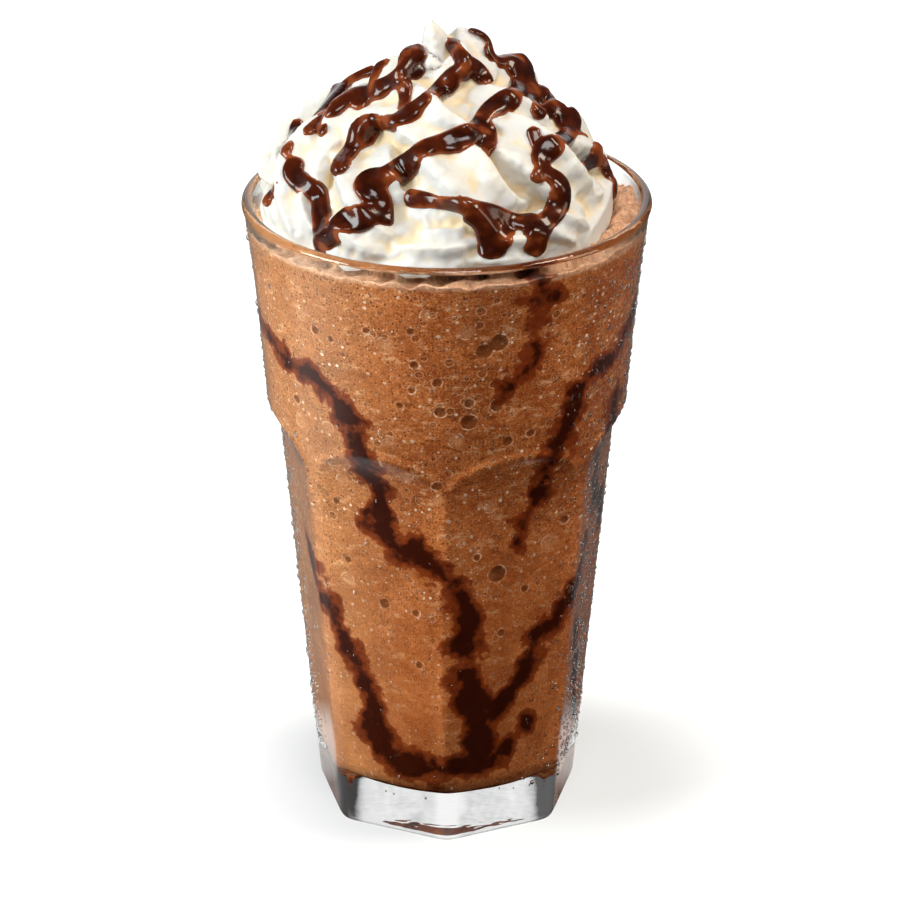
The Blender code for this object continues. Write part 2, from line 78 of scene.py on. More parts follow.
CAVITY_WAIST_RADIUS = 32.2 * MM
CAVITY_WAIST_BEND = 5 * MM  # the taper changes over about this height
CAVITY_CORNER = 5 * MM
GLASS_AROUND = 7 * 40
GLASS_CORNER_STEPS = 14
CAVITY_ROWS = 70
LIP_ROWS = 17
FOOT_ROWS = 7
OUTSIDE_ROWS = ((140.1, 101, 1.6), (101, 80.2, 0.35), (80, 4, 1.6), (4, 1.8, 0.4))  # downward, mm
SOLE_SHARES = (0.94, 0.8, 0.5, 0.1)  # rings under the foot, as shares of its radius
CLEAR_GLASS = (0.985, 0.992, 0.99)
EDGE_PAINTED_SHADE = (0.36, 0.38, 0.38)  # painted shade: the wall looked along is painted grey
RIM_PAINTED_SHADE = (0.10, 0.11, 0.11)  # and the thick rim painted darker, also painted shade
LAMP_PASS = (0.96, 0.97, 0.97)  # the lamps' light that clear things let through

# --- drink ---
DRINK_LEVEL = 139 * MM
WETTING = 0.12 * MM  # how far the drink reaches into the wall: no air gap
RIDGE_FILLING = 0.42  # it reaches further where ridges and shoulder are thick:
FILLING_ENDS = (12, 30, 104, 126)  # this share of their height, fading at these heights
RIDGE_BEAD = 0.55 * MM  # raised lines along the ridges and arches,
RIDGE_LINE = 1.3  # with these half widths in millimetres
ARCH_LINE = 0.6
UNDERSIDE_PAINTED_SHADE = 0.25  # painted shade on its underside: it counts this deep inside a streak, in millimetres, so it takes the streaks' dark colour
DRINK_AROUND = 400
DRINK_ROWS = 190
DRINK_CORNER_STEPS = 12
OPEN_RADIUS = 30 * MM  # the open surface moves outside this radius:
OPEN_DIP = 1.0 * MM  # down, but up on the side where it shows,
OPEN_RISE = 1.9 * MM
OPEN_LUMPS = 0.5 * MM  # and in soft lumps of this height and these lengths
LUMP_LENGTHS = (3.2, 8.0)
LUMP_WAVES = 26
OUTSIDE = -9.0  # depth inside a streak or bubble, where there is none
COFFEE = ((0.345, 0.088, 0.020), (0.555, 0.179, 0.050))
COFFEE_GRAIN = (  # texture, its values where the colour starts and is full, strength, colour
    ("grain", 0.42, 0.62, 0.66, (0.24, 0.052, 0.010)),
    ("specks", 0.56, 0.68, 0.4, (0.84, 0.49, 0.26)),
    ("specks", 0.44, 0.34, 0.5, (0.15, 0.030, 0.005)),
    ("strokes", 0.54, 0.70, 0.6, (0.82, 0.49, 0.26)),
    ("strokes", 0.46, 0.33, 0.7, (0.18, 0.038, 0.007)))
COFFEE_PAINTED_LIGHT = (0.78, 0.49, 0.23)  # painted light: the lit left side is painted paler
# Cells per millimetre, share that hold a bubble (None: by the froth), largest radius in cells,
# and for the bubbles the strength of the painted shade inside and of the painted highlight at the
# rim.
FINE_BUBBLES = ((1.5, 0.55, 0.34, 0.95, 0.3), (0.75, None, 0.38, 0.9, 0.35),
                (0.36, 0.30, 0.30, 0.75, 0.35))
# painted glints: pale crescents of painted highlight in tiny cells, where there is froth
PAINTED_GLINTS = ((2.1, 0.42, 0.32), (1.25, 0.42, 0.28), (0.62, 0.2, 0.3))
SMALLEST_BUBBLE = 0.10
SMALLEST_GLINT = 0.12
# painted shade inside bubbles, and the painted highlight on their rims
BUBBLE_PAINTED_SHADE = (0.12, 0.030, 0.008)
BUBBLE_RIM_HIGHLIGHT = (0.92, 0.62, 0.38)
# colour of the painted glints
GLINT_HIGHLIGHT = (0.93, 0.76, 0.56)
# large bubbles: the dark ones painted with shade inside, the pale ones given a paler inside
LARGE_BUBBLES = (("bubble", 0.78, BUBBLE_PAINTED_SHADE), ("pale_bubble", 0.22, (0.74, 0.42, 0.22)))
# painted highlight on the large bubbles' rims
LARGE_RIM_HIGHLIGHT = (0.93, 0.70, 0.48)
FOAM = (0.80, 0.52, 0.34)
STREAK_WANDER = 12.0  # how far the streaks' edges stray, millimetres
STREAK_RAGGED = 3.4  # and in finer teeth
STREAK_THIN = (0.19, 0.031, 0.006)
STREAK_THICK = (0.026, 0.0036, 0.0012)

# --- cream and drizzle: the same rules as the solids ---
CREAM_UNDERSIDE = DRINK_LEVEL + 0.3 * MM
CREAM_REACH = 41.1 * MM
BARE_SIDE = radians(-5)  # direction about Z where froth shows beside the cream
BARE_WIDTH = radians(52)
BARE_STRIP = 5.2 * MM
CREAM_VOXEL = 0.55 * MM
CREAM_SOFTENING = 2
CREAM_FOLDS = 0.9 * MM
CREAM_PITS = 0.10 * MM
FOLD_SIZE = 5.5  # millimetres
PIT_SIZE = 1.3
FOLD_MIDDLE = 0.45  # middle value of the folds' noise
HOLLOW_ROUNDS = 60
NOZZLE_TEETH = 6
NOZZLE_DEPTH = 0.32
ROPE_TURNS = 2.75
ROPE_START = 1.3
ROPE_STEPS = 420
ROPE_TWIST = 3
ROPE_THICKNESS = 11.6 * MM
ROPE_THINNING = 3.4 * MM
PULL_STEPS = 39
COIL_WIDTH = 26 * MM
COIL_CENTRE = 3 * MM
COIL_FOOT = 2 * MM
COIL_RISE = 24.5 * MM
WAVE_LENGTH = 19 * MM
WAVE_TIGHTENING = 6 * MM
WAVE_OUT = 4.6 * MM
WAVE_UP = 3.4 * MM
LOBES = 15
LOBE_SEED = 5
LOBE_LENGTH = (0.24, 0.36)
LOBE_THICKNESS = (6.0, 7.6)
LOBE_LEAN = (-3.0, 5.0)
LOBE_LIFT = (-0.5, 3.0)
CORE = ((39, 0.5), (35, 4), (27, 12), (17, 20), (6, 29))
CORE_AROUND = 48
PEAK = Vector((-3.3, 0, 40.6)) * MM
CREAM_AND_HOLLOW_SHADE = ((0.69, 0.678, 0.655), (0.80, 0.645, 0.42))  # on the ridges, and a warm painted shade in the hollows
CREAM_CLOUD = (0.76, 0.69, 0.56)
POUR_POINT = Vector((0.7, -1131, 572)) * MM
DRIZZLE_STEP = 0.8 * MM
DRIZZLE_REACH = 41.1 * MM
DRIZZLE_BEADING = 0.16
DRIZZLE_VOXEL = 0.36 * MM
DRIZZLE_SOFTENING = 6
DRIZZLE_WIDENING = 1.16  # the ribbons are wider than the solid ones, and flatter
DRIZZLE_HEIGHT = 0.46  # height of a ribbon's crown as a share of its half width
DRIZZLE_FOLLOWING = (-2.4, 1.3)  # how far it follows the cream up and down, millimetres
DRIZZLE_SUNK = 0.35 * MM  # how far its edges lie in the cream
LANES = 11
SAUCE = ((0.26, 0.060, 0.016), (0.066, 0.0105, 0.0030))  # where thin, and where thicker
SAUCE_DEEP = (0.021, 0.0032, 0.0013)

# --- condensation ---
DROPS = 3200
DROP_SEED = 11
DROP_SIDES = 7
DROP_HEIGHTS = (10, 137)
DROP_SIZES = (0.19, 0.2, 0.5, 14)  # radius: least, spread, most added to a few, their rarity
SPARSE_DROPS = 0.03  # how closely they stand away from the sides
CROWDED = ((82, 52), (-100, 20))  # degrees where they stand closest, and how far round
WATER = (0.98, 0.99, 0.99)

# --- light ---
BACKDROP_EDGE = (0.22, 0.45)  # radians from +Y over which the white backdrop ends
TABLE_EDGE = (0.12, 0.36)  # the same for the white table
SIDE_DIMNESS = 0.06  # brightness beside the backdrop, as glass shows it
FRONT_EDGE = (80, 110)  # degrees from -Y over which the dark room in front ends
FRONT_DIMNESS = 0.03  # brightness of the room in front
SOFTBOX_EDGES = (-112, -92, -78, -42)  # degrees from -Y: a large white softbox on the left
SOFTBOX = 0.42
SOFTBOX_SIDE = 0.3  # share of it that goes on behind the left side
OVERHEAD_EDGE = (0.5, 0.8)  # heights of the direction over which the white ends above
OVERHEAD_DIMNESS = 0.12
WORLD_FILL = 0.23  # brightness of the surroundings on matt surfaces
WORLD_TINTS = ((0.97, 1.0, 1.0), (1.0, 1.0, 0.995))
LAMPS = (  # name, degrees from -Y toward +X, degrees up, distance, width, height, power, colour
    ("key", -72, 24, 0.9, 0.42, 0.42, 8.7, (0.95, 1.0, 0.97)),
    ("top", 8, 58, 1.0, 0.32, 0.32, 3.9, (1.0, 0.99, 0.98)),
    ("fill", 80, 24, 0.9, 0.3, 0.5, 1.9, (1.0, 0.87, 0.70)),
    ("high", 88, 58, 1.0, 0.28, 0.28, 4.6, (1.0, 0.89, 0.72)))
LAMP_LIFT = 0.08  # height from which the lamps' elevation is measured
LAMP_AIM = 0.09
AIR_BELOW = 0.05 * MM  # between the sole of the glass and the table
TABLE_HALF = 3.0
TABLE = ((0.43, 0.44, 0.462), (0.45, 0.46, 0.48))
# colour of the table's painted glow
TABLE_GLOW_COLOUR = (0.985, 1.0, 0.985)
TABLE_BOUNCE = (0.33, 0.33, 0.33)  # the table as matt things see it
TABLE_PAINTED_GLOW = (0.40, 1.0)  # painted light: the table's glow near the glass, low enough to leave a painted shadow, and away from it
PAINTED_GLOW_REACH = (32, 92)  # millimetres over which it changes, from the place below
# middle of the painted shadow, a little right of and behind the foot's middle
PAINTED_SHADOW_CENTRE = (9, 3, 0)
BRIGHT_REACH = (42, 62)  # how far behind the foot the table looks white through it
BRIGHT_BACK = (-10, 10)

# --- drizzle: half thickness, swelling at the far end, route on a sheet facing the pour ---
STRANDS = [
    (2.1, 0.7, [(-5, 36), (-6, 33), (-7.5, 30.5), (-8, 28), (-10, 26.5), (-12, 24.5),
        (-15, 22.5), (-17, 22), (-19.5, 23), (-21, 21.5), (-22.5, 20), (-25, 18.5), (-27, 17),
        (-29, 14.5), (-31, 13)]),
    (1.9, 1.2, [(-8, 28), (-6.5, 26.5), (-6, 25)]),
    (1.5, 1.2, [(-19.5, 22), (-18.5, 20), (-18.5, 18.5)]),
    (1.4, 1.2, [(-27.5, 16), (-26.5, 14), (-27, 12.5)]),
    (1.6, 1.0, [(-9.5, 25.5), (-9, 22.5), (-9.5, 20), (-9, 17.5)]),
    (1.9, 1.1, [(5.5, 25.5), (2.5, 27), (0.5, 25), (-3, 22), (-6, 19.5), (-9, 17), (-12, 15.5),
        (-15, 15.5), (-18, 15), (-20, 12.5), (-21, 9.5), (-23.5, 7.5), (-24, 4)]),
    (1.3, 0.8, [(-15, 15.5), (-16, 13), (-18, 11), (-20, 10.5)]),
    (2.2, 1.3, [(13, 29), (16, 26), (16, 24), (14.5, 21.5), (11.5, 19.5), (8.5, 18),
        (7.5, 15.5), (6, 13.5), (2, 11.5), (-2, 11), (-5, 10), (-7.5, 7.5), (-11, 5), (-15, 4),
        (-17, 4), (-17.5, 1.5), (-15, -0.5), (-14.5, -3.5), (-18, -5), (-21.5, -5.5),
        (-24.5, -8), (-26.5, -10), (-28.5, -11.5)]),
    (1.7, 1.2, [(8, 15.5), (9.5, 13), (8.5, 10.5), (10, 9)]),
    (1.9, 1.2, [(-14.5, 0.5), (-13, -3), (-14, -6.5)]),
    (1.8, 1.1, [(0.5, 34), (2, 31.5), (4, 28.5), (7, 27.5), (9, 24)]),
    (1.9, 0.9, [(9, 33), (10.5, 31.5), (13, 31), (14.5, 28.5), (17, 26), (18, 23), (19.5, 19),
        (21, 16.5)]),
    (2.1, 1.2, [(19.5, 22), (22, 22), (24.5, 22), (26.5, 20), (27.5, 16.5), (27, 13.5),
        (24.5, 11.5), (21.5, 10), (20, 7), (22, 4), (25, 2.5), (25, -1), (23, -4.5), (20, -7),
        (19.5, -10), (19.5, -13.5)]),
    (1.5, 1.0, [(18.5, 15), (19, 12), (20.5, 9.5)]),
    (1.5, 1.2, [(22, 6.5), (19.5, 4.5), (19.5, 2.5)]),
    (1.6, 1.2, [(-9.5, -0.5), (-5, -1), (1, -2), (8, -3), (13, -5), (17, -6), (20.5, -6)]),
    (2.4, 1.1, [(4, -3.5), (7.5, -6.5), (9.5, -10), (10.5, -14)]),
    (2.0, 0.9, [(12.5, -4.5), (12.5, -8), (11.5, -11.5)]),
    (2.1, 1.3, [(-31.5, 8), (-34, 5), (-30.5, 2), (-27.5, 0), (-27.5, -3.5), (-26.5, -6.5),
        (-26.5, -9.5), (-27.5, -11.5)]),
    (1.4, 0.8, [(-36.5, 3), (-38.5, 0), (-40.5, -3)]),
    (1.6, 0.8, [(-31.5, 16.5), (-34, 13), (-35, 8)]),
    (1.4, 0.8, [(-15, 27.5), (-17.5, 26.5), (-21.5, 25), (-23.5, 22.5)]),
    (1.6, 1.1, [(29, 5.5), (32, 7), (34, 8), (35.5, 5), (36.5, 1.5), (38, -1)]),
    (1.3, 0.9, [(31, 10), (32.5, 10.5), (34.5, 9.5)]),
]
BACK_STRANDS = [(0, 165), (5, 200), (7, 176), (12, 150), (15, 188), (18, 215)]  # strand, turn

# --- sauce run down inside the glass: half width, then (degrees from -Y, height) ---
STREAKS = [
    (1.9, [(-86, 118), (-72, 115), (-65, 113), (-58, 112), (-52, 112)]),
    (2.5, [(-52, 112), (-45, 112), (-41, 109), (-36, 107), (-33, 104), (-31, 100)]),
    (2.9, [(-31, 100), (-29, 96), (-30, 93), (-28, 88), (-26, 84), (-24, 79), (-22, 75),
        (-19, 72), (-13, 73), (-7, 71), (-2, 69), (1, 65)]),
    (2.5, [(-2, 69), (2, 66), (3, 63), (8, 59), (10, 54), (6, 48), (8, 42)]),
    (3.8, [(8, 42), (11, 35), (14, 28), (15, 20)]),
    (2.2, [(80, 119), (68, 114), (60, 112), (52, 111), (47, 109), (44, 105)]),
    (2.8, [(44, 105), (42, 101), (40, 96), (39, 93), (38, 88), (36, 84)]),
    (2.0, [(36, 84), (33, 80), (30, 77), (29, 73)]),
    (2.2, [(27, 143), (28, 136), (28, 131)]),
    (1.2, [(28, 131), (28, 124), (29, 118)]),
    (1.3, [(22, 134), (28, 133), (34, 133)]),
    (2.2, [(28, 118), (24, 116), (20, 114)]),
    (1.2, [(20, 114), (17, 110)]),
    (2.0, [(-74, 68), (-62, 62), (-57, 57), (-51, 51), (-45, 45)]),
    (2.5, [(-45, 45), (-40, 39), (-36, 34), (-33, 30), (-30, 24), (-22, 18)]),
    (2.4, [(66, 65), (60, 59), (55, 55), (48, 51), (42, 48), (38, 43), (34, 39), (27, 34),
        (20, 29)]),
    (1.7, [(38, 27), (30, 22), (20, 18)]),
    (3.6, [(-37, 26), (-31, 21), (-22, 18), (-9, 17), (0, 18), (10, 18), (20, 18)]),
    (1.2, [(-24, 86), (-30, 82), (-33, 77)]),
    (1.3, [(8, 57), (14, 52), (14, 46)]),
]
BACK_STREAKS = [
    (2, 160), (1, 165), (2, 100), (6, 130), (6, 190), (7, 195), (14, 110), (8, 150), (9, 120),
    (17, 168), (15, 142), (14, 205)
]

# --- larger bubbles against the glass: (degrees from -Y, height, radius), in millimetres ---
BUBBLES = [
    (16, 124, 2.1), (11.5, 122.3, 1.8), (-10, 119, 1.0), (-3, 115, 1.1), (-11, 113, 0.9),
    (7, 110, 1.1), (16, 109, 1.5), (-15, 109, 0.9), (-2, 108, 1.3), (7, 105.5, 1.8),
    (20, 100, 1.2), (28, 101, 1.0), (-3, 90, 1.1), (-44, 123, 1.1), (-38, 122, 0.9),
    (-11, 127, 0.9), (20, 66, 2.1), (-26, 58, 1.3), (-12, 57, 1.0), (-11, 44, 1.0),
    (23, 51, 1.0), (33, 61, 1.0), (11, 71, 0.9), (-42, 67, 0.9), (-25, 126, 0.9), (49, 76, 1.1),
    (-45, 81, 0.9), (-56, 104, 1.1), (48, 101, 1.1)
]
PALE_BUBBLES = [
    (6, 127, 1.7), (33, 125, 1.6), (45, 118, 1.5), (-19, 123, 1.9), (-49, 126, 1.7),
    (-56, 129, 1.2), (-6, 131, 1.3), (-24, 124, 1.0), (43, 71, 1.9), (-55, 99, 1.7),
    (-42, 100, 1.4), (-19, 100, 1.3), (3, 101, 1.6), (-14, 91, 1.2), (-41, 87, 1.4),
    (16, 83, 1.4), (-3, 86, 1.2), (-43, 62, 1.5), (58, 74, 1.5)
]
BACK_BUBBLES = 34  # more of both, at random round the back:
BACK_BUBBLE_RANGES = ((65, 295), (20, 134), (0.9, 2.0))
DIMPLE = 0.30  # depth of a bubble as a share of its radius


# --- shared makers ---
def add_object(name, data):
    made = bpy.data.objects.new(name, data)
    bpy.context.scene.collection.objects.link(made)
    return made


@contextmanager
def edited(mesh):
    """The mesh's faces as a bmesh to change, written back at the end."""
    body = bmesh.new()
    body.from_mesh(mesh)
    yield body
    body.to_mesh(mesh)
    body.free()


def evaluated_mesh(item):
    """The object's mesh with its modifiers or curve settings applied."""
    graph = bpy.context.evaluated_depsgraph_get()
    return bpy.data.meshes.new_from_object(item.evaluated_get(graph))


def fuse(item, voxel, softening):
    """Make one closed skin round everything in the object, a little softened."""
    remesh = item.modifiers.new("fuse", "REMESH")
    remesh.mode = "VOXEL"
    remesh.voxel_size = voxel
    remesh.use_smooth_shade = True
    soften = item.modifiers.new("soften", "SMOOTH")
    soften.factor = 0.5
    soften.iterations = softening
    item.data = evaluated_mesh(item)
    item.modifiers.clear()


def join_meshes(meshes):
    joined = bpy.data.meshes.new("joined")
    with edited(joined) as body:
        for mesh in meshes:
            body.from_mesh(mesh)
    return joined


def read(items, name, width, kind=np.float32):
    """A row of numbers for each vertex or edge."""
    flat = np.empty(len(items) * width, dtype=kind)
    items.foreach_get(name, flat)
    return flat.reshape(-1, width)


def mesh_points(mesh):
    return read(mesh.vertices, "co", 3).astype(np.float64)


def set_mesh_points(mesh, points):
    mesh.vertices.foreach_set("co", points.astype(np.float32).ravel())
    mesh.update()


def point_attribute(mesh, name, values):
    layer = mesh.attributes.new(name, "FLOAT", "POINT")
    layer.data.foreach_set("value", np.asarray(values, dtype=np.float32))


def circle(count, start=-pi / 2):
    return np.arange(count) * 2 * pi / count + start


def turned_rings(profile, angles):
    """Rings of points at the profile's radii, which may differ by angle, and heights."""
    return np.array([np.stack([r * np.cos(angles), r * np.sin(angles), z + 0 * angles], axis=1)
                     for r, z in profile])


def ring_mesh(name, rings):
    """A closed skin over rings of points: an array rows x around x 3, its ends on the axis."""
    rows, around, _ = rings.shape
    points = np.vstack([rings.reshape(-1, 3), rings[0].mean(axis=0), rings[-1].mean(axis=0)])
    here = np.arange(around)
    after = (here + 1) % around
    last = (rows - 1) * around
    faces = []
    for start in range(0, last, around):
        faces += np.stack([start + here, start + after, start + around + after,
                           start + around + here], axis=1).tolist()
    pairs = list(zip(here.tolist(), after.tolist()))
    faces += [[rows * around, b, a] for a, b in pairs]
    faces += [[rows * around + 1, last + a, last + b] for a, b in pairs]
    mesh = bpy.data.meshes.new(name)
    mesh.from_pydata(points.tolist(), [], faces)
    mesh.update()
    mesh.shade_smooth()
    with edited(mesh) as body:
        if body.calc_volume(signed=True) < 0:
            bmesh.ops.reverse_faces(body, faces=body.faces)
    return mesh


def polar(radius, angle, height):
    return Vector((radius * cos(angle), radius * sin(angle), height))


def wrapped(angle):
    """The angle brought to within half a turn of 0."""
    return (angle + pi) % (2 * pi) - pi


def fade(value, start, full):
    return np.clip((value - start) / (full - start), 0, 1)


class Shader:
    """A node material: adds nodes and feeds their sockets with values or other sockets."""

    def __init__(self, name, owner=None):
        self.material = owner or bpy.data.materials.new(name)
        self.material.use_nodes = True
        self.tree = self.material.node_tree
        self.tree.nodes.clear()

    def add(self, kind, inputs=None, **settings):
        node = self.tree.nodes.new("ShaderNode" + kind)
        for key, value in settings.items():
            setattr(node, key, value)
        for key, value in (inputs or {}).items():
            socket = node.inputs[key]
            if isinstance(value, bpy.types.NodeSocket):
                self.tree.links.new(value, socket)
            elif socket.type == "RGBA":
                socket.default_value = (*value, 1.0)
            else:
                socket.default_value = value
        return node

    def math(self, operation, *values):
        return self.add("Math", dict(enumerate(values)), operation=operation).outputs[0]

    def plus(self, first, second):
        return self.math("ADD", first, second)

    def minus(self, first, second):
        return self.math("SUBTRACT", first, second)

    def times(self, product, *factors):
        for factor in factors:
            product = self.math("MULTIPLY", product, factor)
        return product

    def vector(self, operation, *values):
        return self.add("VectorMath", dict(enumerate(values)), operation=operation).outputs

    def split(self, vector):
        return self.add("SeparateXYZ", {0: vector}).outputs

    def mix(self, factor, low, high):
        return self.add("Mix", {0: factor, 6: low, 7: high}, data_type="RGBA").outputs[2]

    def paint(self, base, colour, *shares):
        """Lay a colour over the base, as strongly as the product of the shares."""
        return self.mix(self.times(*shares), base, colour)

    def steps(self, value, low, high, start=0.0, stop=1.0):
        return self.add("MapRange", {0: value, 1: low, 2: high, 3: start, 4: stop},
                        interpolation_type="SMOOTHSTEP").outputs[0]

    def place(self, stretch=(1, 1, 1)):
        """The point in millimetres in the object's frame, stretched along the axes."""
        spot = self.add("TexCoord").outputs["Object"]
        return self.vector("MULTIPLY", spot, tuple(1000 * s for s in stretch))[0]

    def noise(self, where, scale, detail=3.0, roughness=0.5):
        return self.add("TexNoise", {"Vector": where, "Scale": scale, "Detail": detail,
                                     "Roughness": roughness}).outputs[0]

    def attribute(self, name):
        return self.add("Attribute", attribute_name=name).outputs["Fac"]

    def bump(self, height, strength, distance):
        return self.add("Bump", {"Height": height, "Strength": strength,
                                 "Distance": distance}).outputs[0]

    def principled(self, **inputs):
        """A surface; the names of its inputs are written with _ for the spaces."""
        spaced = {name.replace("_", " "): value for name, value in inputs.items()}
        return self.add("BsdfPrincipled", spaced).outputs[0]

    def finish(self, surface):
        self.add("OutputMaterial", {"Surface": surface})
        return self.material

    def see_through(self, surface):
        """Let the lamps' light pass a clear surface, as it does with real thin glass."""
        path = self.add("LightPath").outputs["Is Shadow Ray"]
        clear = self.add("BsdfTransparent", {0: LAMP_PASS}).outputs[0]
        return self.finish(self.add("MixShader", {0: path, 1: surface, 2: clear}).outputs[0])


# --- materials ---
def glass_material():
    make = Shader("clear_glass")
    where = make.place()
    level = make.split(where)[2]
    foot, rim = FLOOR_THICKNESS / MM, DRINK_LEVEL / MM
    pressed = make.times(make.noise(where, 0.13, 2.0), make.steps(level, foot, foot + 5, 0.9, 0.0))
    waves = make.plus(make.noise(where, 0.05, 2.0), pressed)
    facing = make.add("LayerWeight", {0: 0.5}).outputs["Facing"]
    # painted shade: grey where the wall is seen edge-on, darker still on the rim
    glass_and_painted_edge_shade = make.mix(make.steps(facing, 0.8, 0.97), CLEAR_GLASS, EDGE_PAINTED_SHADE)
    glass_and_painted_edge_shade = make.paint(glass_and_painted_edge_shade, RIM_PAINTED_SHADE, make.steps(level, rim - 2, rim + 1),
                      make.steps(facing, 0.4, 0.8))
    return make.see_through(make.principled(
        Base_Color=glass_and_painted_edge_shade, Roughness=make.steps(make.noise(where, 0.6), 0.45, 0.75, 0.0, 0.025),
        IOR=1.5, Transmission_Weight=1.0, Normal=make.bump(waves, 0.25, 0.0006)))


def wall_place(make, where):
    """Millimetres round the wall and up it, carried on over the drink's open surface."""
    x, y, z = make.split(where)
    radius = make.vector("LENGTH", make.add("CombineXYZ", {0: x, 1: y}).outputs[0])["Value"]
    turned = make.math("ARCTAN2", x, make.times(y, -1.0))
    return make.add("CombineXYZ", {0: make.times(turned, 33.0),
                                   1: make.times(make.minus(z, radius), 1.06)}).outputs[0]


def bubble_layer(make, flat, scale, share, smallest, largest):
    """Round bubbles of random size: how far inside one a point is, as a share of its radius,
    and how far it lies toward the lit side."""
    cells = make.add("TexVoronoi", {"Vector": flat, "Scale": scale, "Randomness": 0.9},
                     voronoi_dimensions="2D").outputs
    chance = make.add("SeparateColor", {0: cells["Color"]}).outputs
    size = make.plus(smallest, make.times(make.math("POWER", chance[1], 2.0), largest - smallest))
    present = make.math("GREATER_THAN", share, chance[0])
    depth = make.minus(1.0, make.math("DIVIDE", cells["Distance"], size))
    depth = make.plus(make.times(make.minus(depth, OUTSIDE), present), OUTSIDE)
    scaled = make.vector("MULTIPLY", flat, (scale, scale, scale))[0]
    offset = make.vector("SUBTRACT", scaled, cells["Position"])[0]
    lit = make.vector("DOT_PRODUCT", offset, (-0.7, 0.7, 0.0))["Value"]
    return depth, make.math("DIVIDE", lit, size)


def bubble_rim(make, depth, middle, width):
    """1 on a thin ring just outside a bubble, 0 away from it."""
    return make.steps(make.math("ABSOLUTE", make.plus(depth, middle)), 0.0, width, 1.0, 0.0)


def drink_material():
    make = Shader("blended_coffee")
    where = make.place()
    flat = wall_place(make, where)
    across, _, rise = make.split(where)
    level = DRINK_LEVEL / MM
    coarse = make.steps(rise, 12, 100, 0.3, 1.0)
    grain = make.noise(where, 0.9, 5.0, 0.7)
    textures = {"grain": grain, "specks": make.noise(where, 2.3, 2.0, 0.6),
                "strokes": make.noise(make.place((0.6, 0.6, 1.3)), 0.42, 5.0, 0.7)}
    base = make.mix(make.steps(make.noise(where, 0.11, 4.0, 0.6), 0.3, 0.7), *COFFEE)
    for name, start, full, strength, colour in COFFEE_GRAIN:
        base = make.paint(base, colour, coarse,
                          make.steps(textures[name], start, full, 0.0, strength))
    # painted light: paler toward the lit left side
    base = make.paint(base, COFFEE_PAINTED_LIGHT, make.steps(across, -3, -30, 0.0, 0.24))

    frothy = make.steps(make.noise(where, 0.07, 2.0), 0.47, 0.62)
    head = make.steps(rise, level - 8, level - 3)
    share = make.plus(make.plus(make.times(frothy, 0.5), 0.15), make.times(head, 0.35))
    height = make.times(grain, 0.5)
    for scale, fixed, largest, darkness, rim_highlight in FINE_BUBBLES:
        # painted shade inside, darkest toward the light, with a thin painted highlight on the
        # rim's far side
        depth, lit = bubble_layer(make, flat, scale, fixed or share, SMALLEST_BUBBLE, largest)
        inside = make.steps(depth, 0.0, 0.25)
        base = make.paint(base, BUBBLE_PAINTED_SHADE, inside, make.steps(lit, -0.8, 0.9, 0.35, 1.0),
                          coarse, darkness)
        base = make.paint(base, BUBBLE_RIM_HIGHLIGHT, bubble_rim(make, depth, 0.12, 0.2),
                          make.steps(lit, -0.9, 0.8, 1.0, 0.25), coarse, rim_highlight)
        height = make.minus(height, make.times(inside, 0.7))
    uneven = make.minus(grain, 0.5)
    # painted glints: pale crescents of painted highlight on one side of tiny cells, each with a
    # small raised bump
    for scale, some, largest in PAINTED_GLINTS:
        depth, lit = bubble_layer(make, flat, scale, some, SMALLEST_GLINT, largest)
        glint = make.times(make.steps(make.plus(depth, uneven), 0.0, 0.3),
                           make.steps(lit, 0.5, -0.4),
                           make.steps(frothy, 0.0, 1.0, 0.5, 1.0), coarse)
        base = make.paint(base, GLINT_HIGHLIGHT, glint, 0.9)
        height = make.plus(height, make.times(glint, 0.6))
    patchy = make.steps(make.noise(where, 0.5, 2.0), 0.45, 0.65, 0.05, 0.6)
    # painted shade inside the dark large bubbles, and a patchy painted highlight on all their rims
    for name, darkness, inner in LARGE_BUBBLES:
        depth = make.plus(make.attribute(name), make.times(uneven, 0.5))
        base = make.paint(base, inner, make.steps(depth, 0.0, 0.35), darkness)
        base = make.paint(base, LARGE_RIM_HIGHLIGHT, bubble_rim(make, depth, 0.1, 0.22), patchy)

    foam = make.steps(rise, level - 2.6, level - 1.2, 0.0, 0.75)
    base = make.paint(base, FOAM, foam, make.steps(grain, 0.35, 0.6, 1.0, 0.4))
    wander = make.times(make.minus(make.noise(where, 0.17, 4.0, 0.56), 0.5), STREAK_WANDER)
    ragged = make.times(make.minus(make.noise(where, 0.45, 3.0, 0.6), 0.5), coarse, STREAK_RAGGED)
    edge = make.plus(make.plus(make.attribute("sauce"), wander), ragged)
    thin = make.steps(edge, -1.3, -0.2)
    base = make.paint(base, STREAK_THIN, thin, 0.93)
    base = make.paint(base, STREAK_THICK, make.steps(edge, -0.1, 1.9), 0.94)
    return make.finish(make.principled(
        Base_Color=base, Roughness=make.steps(thin, 0.0, 1.0, 0.42, 0.3),
        Specular_IOR_Level=make.steps(foam, 0.0, 0.75, 0.04, 0.4),
        Normal=make.bump(height, 0.7, 0.0006)))


